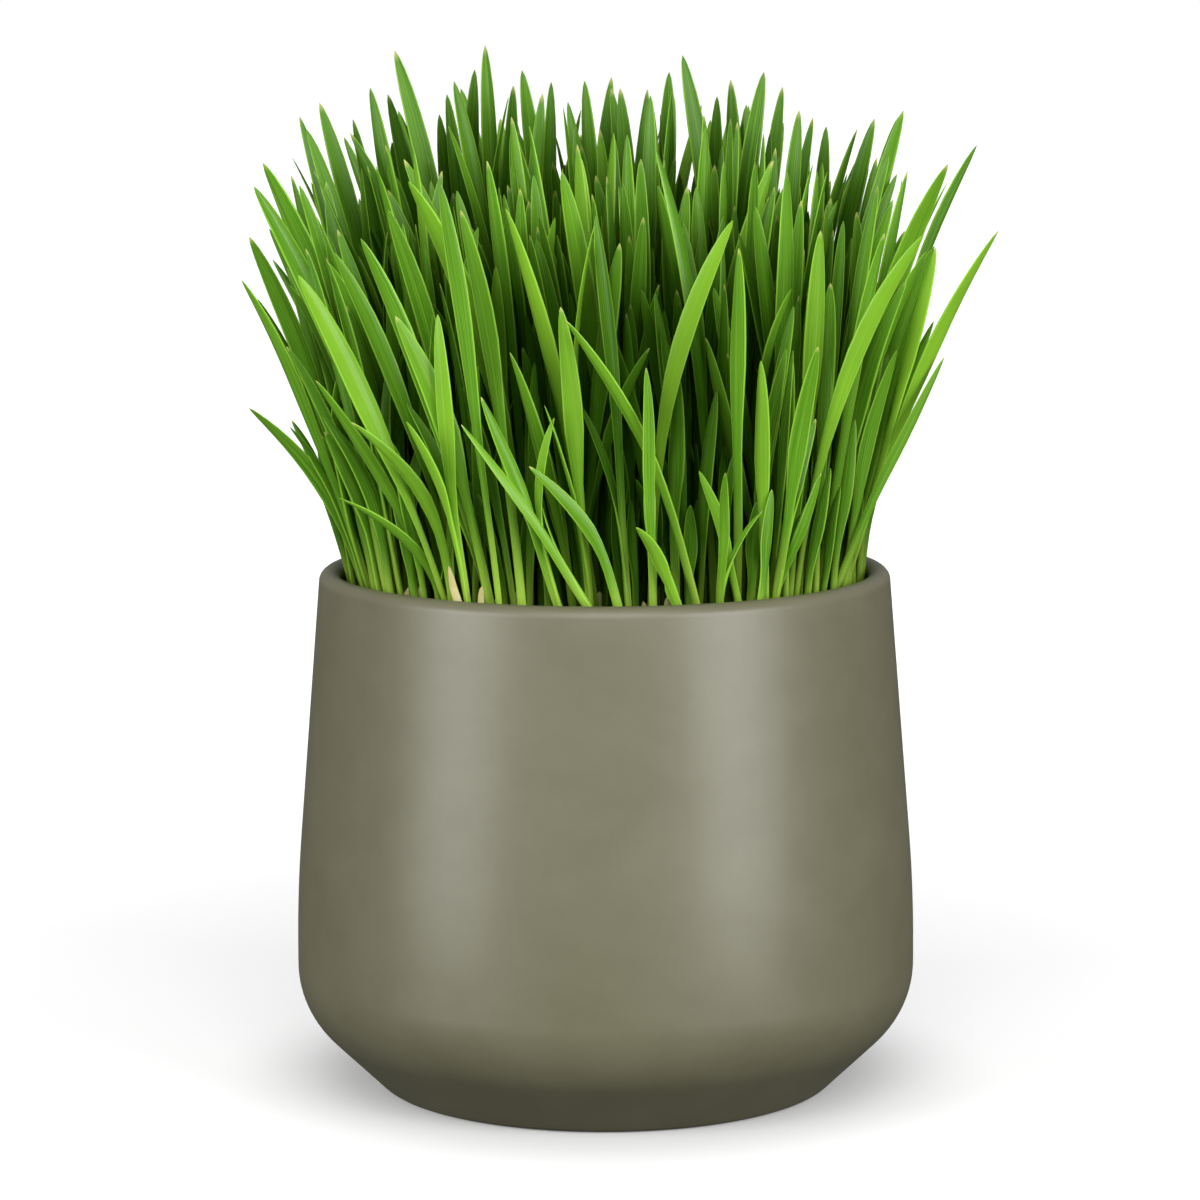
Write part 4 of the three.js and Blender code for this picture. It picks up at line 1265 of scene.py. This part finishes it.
def soilTree():
    tree, inputs = startTree("crumblySoil", {
        "Level": "Float", "Unevenness": "Float", "Lump size": "Float", "Density": "Float",
        "Smallest": "Float", "Largest": "Float", "Seed": "Int", "Material": "Material"})
    place = positionOf(tree)
    lumps = noise(tree, place, calculate(tree, "DIVIDE", 1.0, inputs["Lump size"]), soil["lumpDetail"])
    rise = calculate(tree, "MULTIPLY", calculate(tree, "SUBTRACT", lumps, 0.5), inputs["Unevenness"])
    isTop = addNode(tree, "FunctionNodeCompare", {
        0: split(tree, place)["Z"], 1: inputs["Level"]}, operation="GREATER_EQUAL").outputs[0]
    ground = addNode(tree, "GeometryNodeSetPosition", {
        "Geometry": inputs["Geometry"], "Selection": isTop,
        "Offset": addNode(tree, "ShaderNodeCombineXYZ", {"Z": rise}).outputs[0]}).outputs[0]
    spots = addNode(tree, "GeometryNodeDistributePointsOnFaces", {
        "Mesh": ground, "Selection": isTop, "Density": inputs["Density"], "Seed": inputs["Seed"]})
    crumb = addNode(tree, "GeometryNodeMeshIcoSphere", {"Radius": 1.0, "Subdivisions": 1})
    size = addNode(tree, "FunctionNodeRandomValue", {
        2: inputs["Smallest"], 3: inputs["Largest"], "Seed": inputs["Seed"]}, data_type="FLOAT").outputs[1]
    turn = addNode(tree, "FunctionNodeRandomValue", {
        1: (fullTurn, fullTurn, fullTurn), "Seed": inputs["Seed"]}, data_type="FLOAT_VECTOR").outputs[0]
    crumbs = scatter(tree, spots.outputs[0], crumb.outputs[0], size, turn)
    loose = addNode(tree, "GeometryNodeRealizeInstances", {"Geometry": crumbs})
    dent = noise(tree, place, *soil["dents"], output="Color")
    shift = scaled(tree, combine(tree, "SUBTRACT", dent, (0.5, 0.5, 0.5)), inputs["Largest"])
    rough = addNode(tree, "GeometryNodeSetPosition", {"Geometry": loose.outputs[0], "Offset": shift})
    joined = addNode(tree, "GeometryNodeJoinGeometry", {"Geometry": ground})
    tree.links.new(rough.outputs[0], joined.inputs["Geometry"])
    endTree(tree, joined.outputs[0], inputs["Material"])
    return tree


# Damp peaty potting soil: dull dark brown crumbs, lighter where dry
def soilMaterial():
    return mottledMaterial("pottingSoil", soil)


def makeSoil():
    wall = hollowOutline(soil["gap"], soilLevel, soil["wallSteps"])
    top = straightPoints(wall[-1], (0, soilLevel), soil["topRings"])
    outline = np.concatenate([wall, top, [(0, soilLevel)]])
    smallest, largest = soil["crumbRadius"]
    piece = turnedPiece("potting_soil", outline, soil["segments"])
    runTree(piece, soilTree(), {
        "Level": (soilLevel - soil["edge"]) * mm, "Unevenness": soil["unevenness"] * 2 * mm,
        "Lump size": soil["lumpSize"] * mm, "Density": soil["crumbsPerSquareMillimetre"] / mm ** 2,
        "Smallest": smallest * mm, "Largest": largest * mm, "Seed": soil["seed"], "Material": soilMaterial()})
    finishPiece(piece, "potting_soil", "soil")


makeSoil()
print("soil filled in")


# Barley grains left on the soil, those of the part in their places and more between

grain = {
    "length": 7.5,
    "halfWidth": 1.6,
    "halfHeight": 1.3,
    "segments": 10,
    "rings": 7,
    "crease": (0.35, 0.72),    # half width of the furrow, and its height as a share
    "lift": 0.5,
    "perRootBall": 2,
    "insideEdge": 5.5,
    "sideShare": 0.25,
    "seed": 7300,
    "more": 60,
    "moreSeed": 7900,
    "moreSize": (0.6, 0.95),
    "edgeGap": 2,
    "colours": ("#6e5530", "#b59a5e"),
    "mottle": (700, 3),
    "bump": (0.4, 0.2),
    "roughness": 0.7,
    "ior": 1.5,
}


def grainTree():
    tree, inputs = startTree("barleyGrains", {
        "Length": "Float", "Half width": "Float", "Half height": "Float", "Material": "Material"})

    def times(first, second):
        return calculate(tree, "MULTIPLY", first, second)

    ball = addNode(tree, "GeometryNodeMeshUVSphere", {
        "Segments": grain["segments"], "Rings": grain["rings"], "Radius": 1.0})
    corner = split(tree, positionOf(tree))
    halfLength = times(inputs["Length"], 0.5)
    furrow, low = grain["crease"]
    crease = ranged(tree, calculate(tree, "ABSOLUTE", corner["X"]), 0.0, furrow, low, 1.0, "LINEAR")
    spindle = addNode(tree, "ShaderNodeCombineXYZ", {
        "X": times(corner["Z"], halfLength), "Y": times(corner["X"], inputs["Half width"]),
        "Z": times(times(corner["Y"], inputs["Half height"]), crease)}).outputs[0]
    shaped = addNode(tree, "GeometryNodeSetPosition", {"Geometry": ball.outputs[0], "Position": spindle})
    turn = namedValue(tree, "turn", "FLOAT_VECTOR")
    size = namedValue(tree, "size")
    grains = scatter(tree, inputs["Geometry"], shaped.outputs[0], size, turn)
    endTree(tree, grains, inputs["Material"])
    return tree


# Barley husk: dry papery straw colour, dull, darker where it was wet
def huskMaterial():
    return mottledMaterial("dryBarleyHusk", grain)


def makeGrains():
    grains = []

    def lay(reach, angle, turn, size):
        grains.append(np.stack([reach * np.cos(angle), reach * np.sin(angle), turn, size], axis=1))

    for index, ball in enumerate(rootBalls):
        if ball["outer"] < grassRadius:
            continue
        draws = drawTable(grain["seed"] + index, grain["perRootBall"], 3)
        reach = mix(ball["inner"] + grain["insideEdge"], ball["outer"] - grain["insideEdge"], draws[:, 0])
        angle = mix(ball["start"], ball["end"], mix(grain["sideShare"], 1 - grain["sideShare"], draws[:, 1]))
        lay(reach, angle, draws[:, 2] * math.pi, np.ones(len(draws)))
    draws = drawTable(grain["moreSeed"], grain["more"], 4)
    lay((grassRadius - grain["edgeGap"]) * np.sqrt(draws[:, 0]), fullTurn * draws[:, 1],
        fullTurn * draws[:, 2], mix(*grain["moreSize"], draws[:, 3]))
    x, y, turn, size = np.concatenate(grains).T
    height = np.full(len(x), rootBall["top"] + grain["lift"])
    piece = addPiece("barley_grains", (np.stack([x, y, height], axis=1) * mm).tolist())
    storeValues(piece, "turn", np.stack([x * 0, x * 0, turn], axis=1), "FLOAT_VECTOR")
    storeValues(piece, "size", size)
    runTree(piece, grainTree(), {
        "Length": grain["length"] * mm, "Half width": grain["halfWidth"] * mm,
        "Half height": grain["halfHeight"] * mm, "Material": huskMaterial()})
    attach(piece, "root")


makeGrains()
print("grains laid")


# Stage: a pale floor, a white surround that only the camera sees, soft lights and the camera

stage = {
    "radius": 6000,
    "floorDepth": 2,
    "floorSegments": 96,
    "floor": "#dadada",
    "glowRings": ((44, 84), (110, 600)),
    "floorGlowAndPaintedShadow": ((0.15, 0.41), (0, 0.27)),   # keeps the floor evenly white far out; lower near the pot's foot, it paints a shadow there over the real one
    "surround": "#ffffff",
    "surroundShare": 0.98,
    "surroundSteps": 32,
    "surroundSegments": 64,
    "skyTop": 0.44,
    "skyHorizon": 0.22,
    "skyBelow": 0.34,
    "horizon": -0.02,
    "boxAngles": (-56, 49),
    "boxDistance": 1000,
    "boxHeight": 250,
    "boxAim": 90,             # the height at which both soft boxes are pointed
    "boxSize": (540, 660),
    "boxPower": (7.7, 9.1),
    "keyStrength": 1.75,      # a broad soft light from above the viewer
    "keySpread": 50,
    "keyHeight": 34,
}


def makeFloor():
    radius = stage["radius"]
    depth = stage["floorDepth"]
    outline = np.array([(0, -depth), (radius, -depth), (radius, 0), (0, 0)])
    floor = turnedPiece("floor", outline, stage["floorSegments"])
    floor.data.polygons.foreach_set("use_smooth", [False] * len(floor.data.polygons))
    material, tree, shader = startMaterial("matteWhitePaper", 1.0)
    shader.inputs["Base Color"].default_value = linearColour(stage["floor"])
    shader.inputs["Specular IOR Level"].default_value = 0.0
    shader.inputs["Emission Color"].default_value = (1, 1, 1, 1)
    # the glow is lowest at the pot's foot: a painted shadow around it
    away = addNode(tree, "ShaderNodeVectorMath", {0: objectPlace(tree)}, operation="LENGTH").outputs["Value"]
    glowAndPaintedShadow = [ranged(tree, away, start * mm, end * mm, low, high)
             for (start, end), (low, high) in zip(stage["glowRings"], stage["floorGlowAndPaintedShadow"])]
    tree.links.new(calculate(tree, "ADD", *glowAndPaintedShadow), shader.inputs["Emission Strength"])
    floor.data.materials.append(material)
    return floor


def makeSurround():
    outline = arcPoints(0, 0, stage["radius"] * stage["surroundShare"], -90, 90, stage["surroundSteps"])
    surround = turnedPiece("surround", outline, stage["surroundSegments"])
    material = bpy.data.materials.new("whiteSurround")
    material.use_nodes = True
    tree = material.node_tree
    tree.nodes.remove(tree.nodes["Principled BSDF"])
    glow = addNode(tree, "ShaderNodeEmission", {"Color": linearColour(stage["surround"]), "Strength": 1.0})
    tree.links.new(glow.outputs[0], tree.nodes["Material Output"].inputs["Surface"])
    surround.data.materials.append(material)
    surround.visible_transmission = False
    surround.visible_shadow = False
    return surround


def makeSky():
    world = bpy.data.worlds.new("softSky")
    bpy.context.scene.world = world
    world.use_nodes = True
    tree = world.node_tree
    height = split(tree, addNode(tree, "ShaderNodeTexCoord").outputs["Generated"])["Z"]
    above = ranged(tree, height, 0.0, 1.0, stage["skyHorizon"], stage["skyTop"], "LINEAR")
    both = ranged(tree, height, stage["horizon"], 0.0, stage["skyBelow"], 1.0, "LINEAR")
    background = tree.nodes["Background"]
    tree.links.new(calculate(tree, "MULTIPLY", above, both), background.inputs["Strength"])
    background.inputs["Color"].default_value = (1, 1, 1, 1)


def addLight(name, kind, power, turned):
    light = bpy.data.lights.new(name, kind)
    light.energy = power
    lamp = addObject(name, light)
    lamp.rotation_euler = turned
    return lamp


def makeLights():
    distance = stage["boxDistance"]
    tilt = math.atan2(distance, stage["boxHeight"] - stage["boxAim"])
    for name, angle, power in zip(("softBoxLeft", "softBoxRight"), stage["boxAngles"], stage["boxPower"]):
        turn = math.radians(angle)
        lamp = addLight(name, "AREA", power, (tilt, 0, turn))
        lamp.data.shape = "RECTANGLE"
        lamp.data.size, lamp.data.size_y = [value * mm for value in stage["boxSize"]]
        place = (distance * math.sin(turn), -distance * math.cos(turn), stage["boxHeight"])
        lamp.location = [value * mm for value in place]
    key = addLight("key", "SUN", stage["keyStrength"], (math.radians(90 - stage["keyHeight"]), 0, 0))
    key.data.angle = math.radians(stage["keySpread"])


camera = {
    "x": -0.56,
    "distance": 900,
    "height": 228.4,
    "pitch": 8.22,
    "roll": 0.17,
    "lens": 135.39,
    "sensor": 36,
    "sees": 50000,
}


def makeCamera():
    data = bpy.data.cameras.new("camera")
    data.lens = camera["lens"]
    data.sensor_width = camera["sensor"]
    data.clip_end = camera["sees"] * mm
    eyePiece = addObject("camera", data)
    eyePiece.location = (camera["x"] * mm, -camera["distance"] * mm, camera["height"] * mm)
    eyePiece.rotation_euler = (math.radians(90 - camera["pitch"]), math.radians(camera["roll"]), 0)
    bpy.context.scene.camera = eyePiece


floor = makeFloor()
surround = makeSurround()
for piece in (floor, surround):
    piece.visible_diffuse = False
    piece.visible_glossy = False
makeSky()
makeLights()
makeCamera()
bpy.context.scene.view_settings.view_transform = "Standard"
print("stage set")
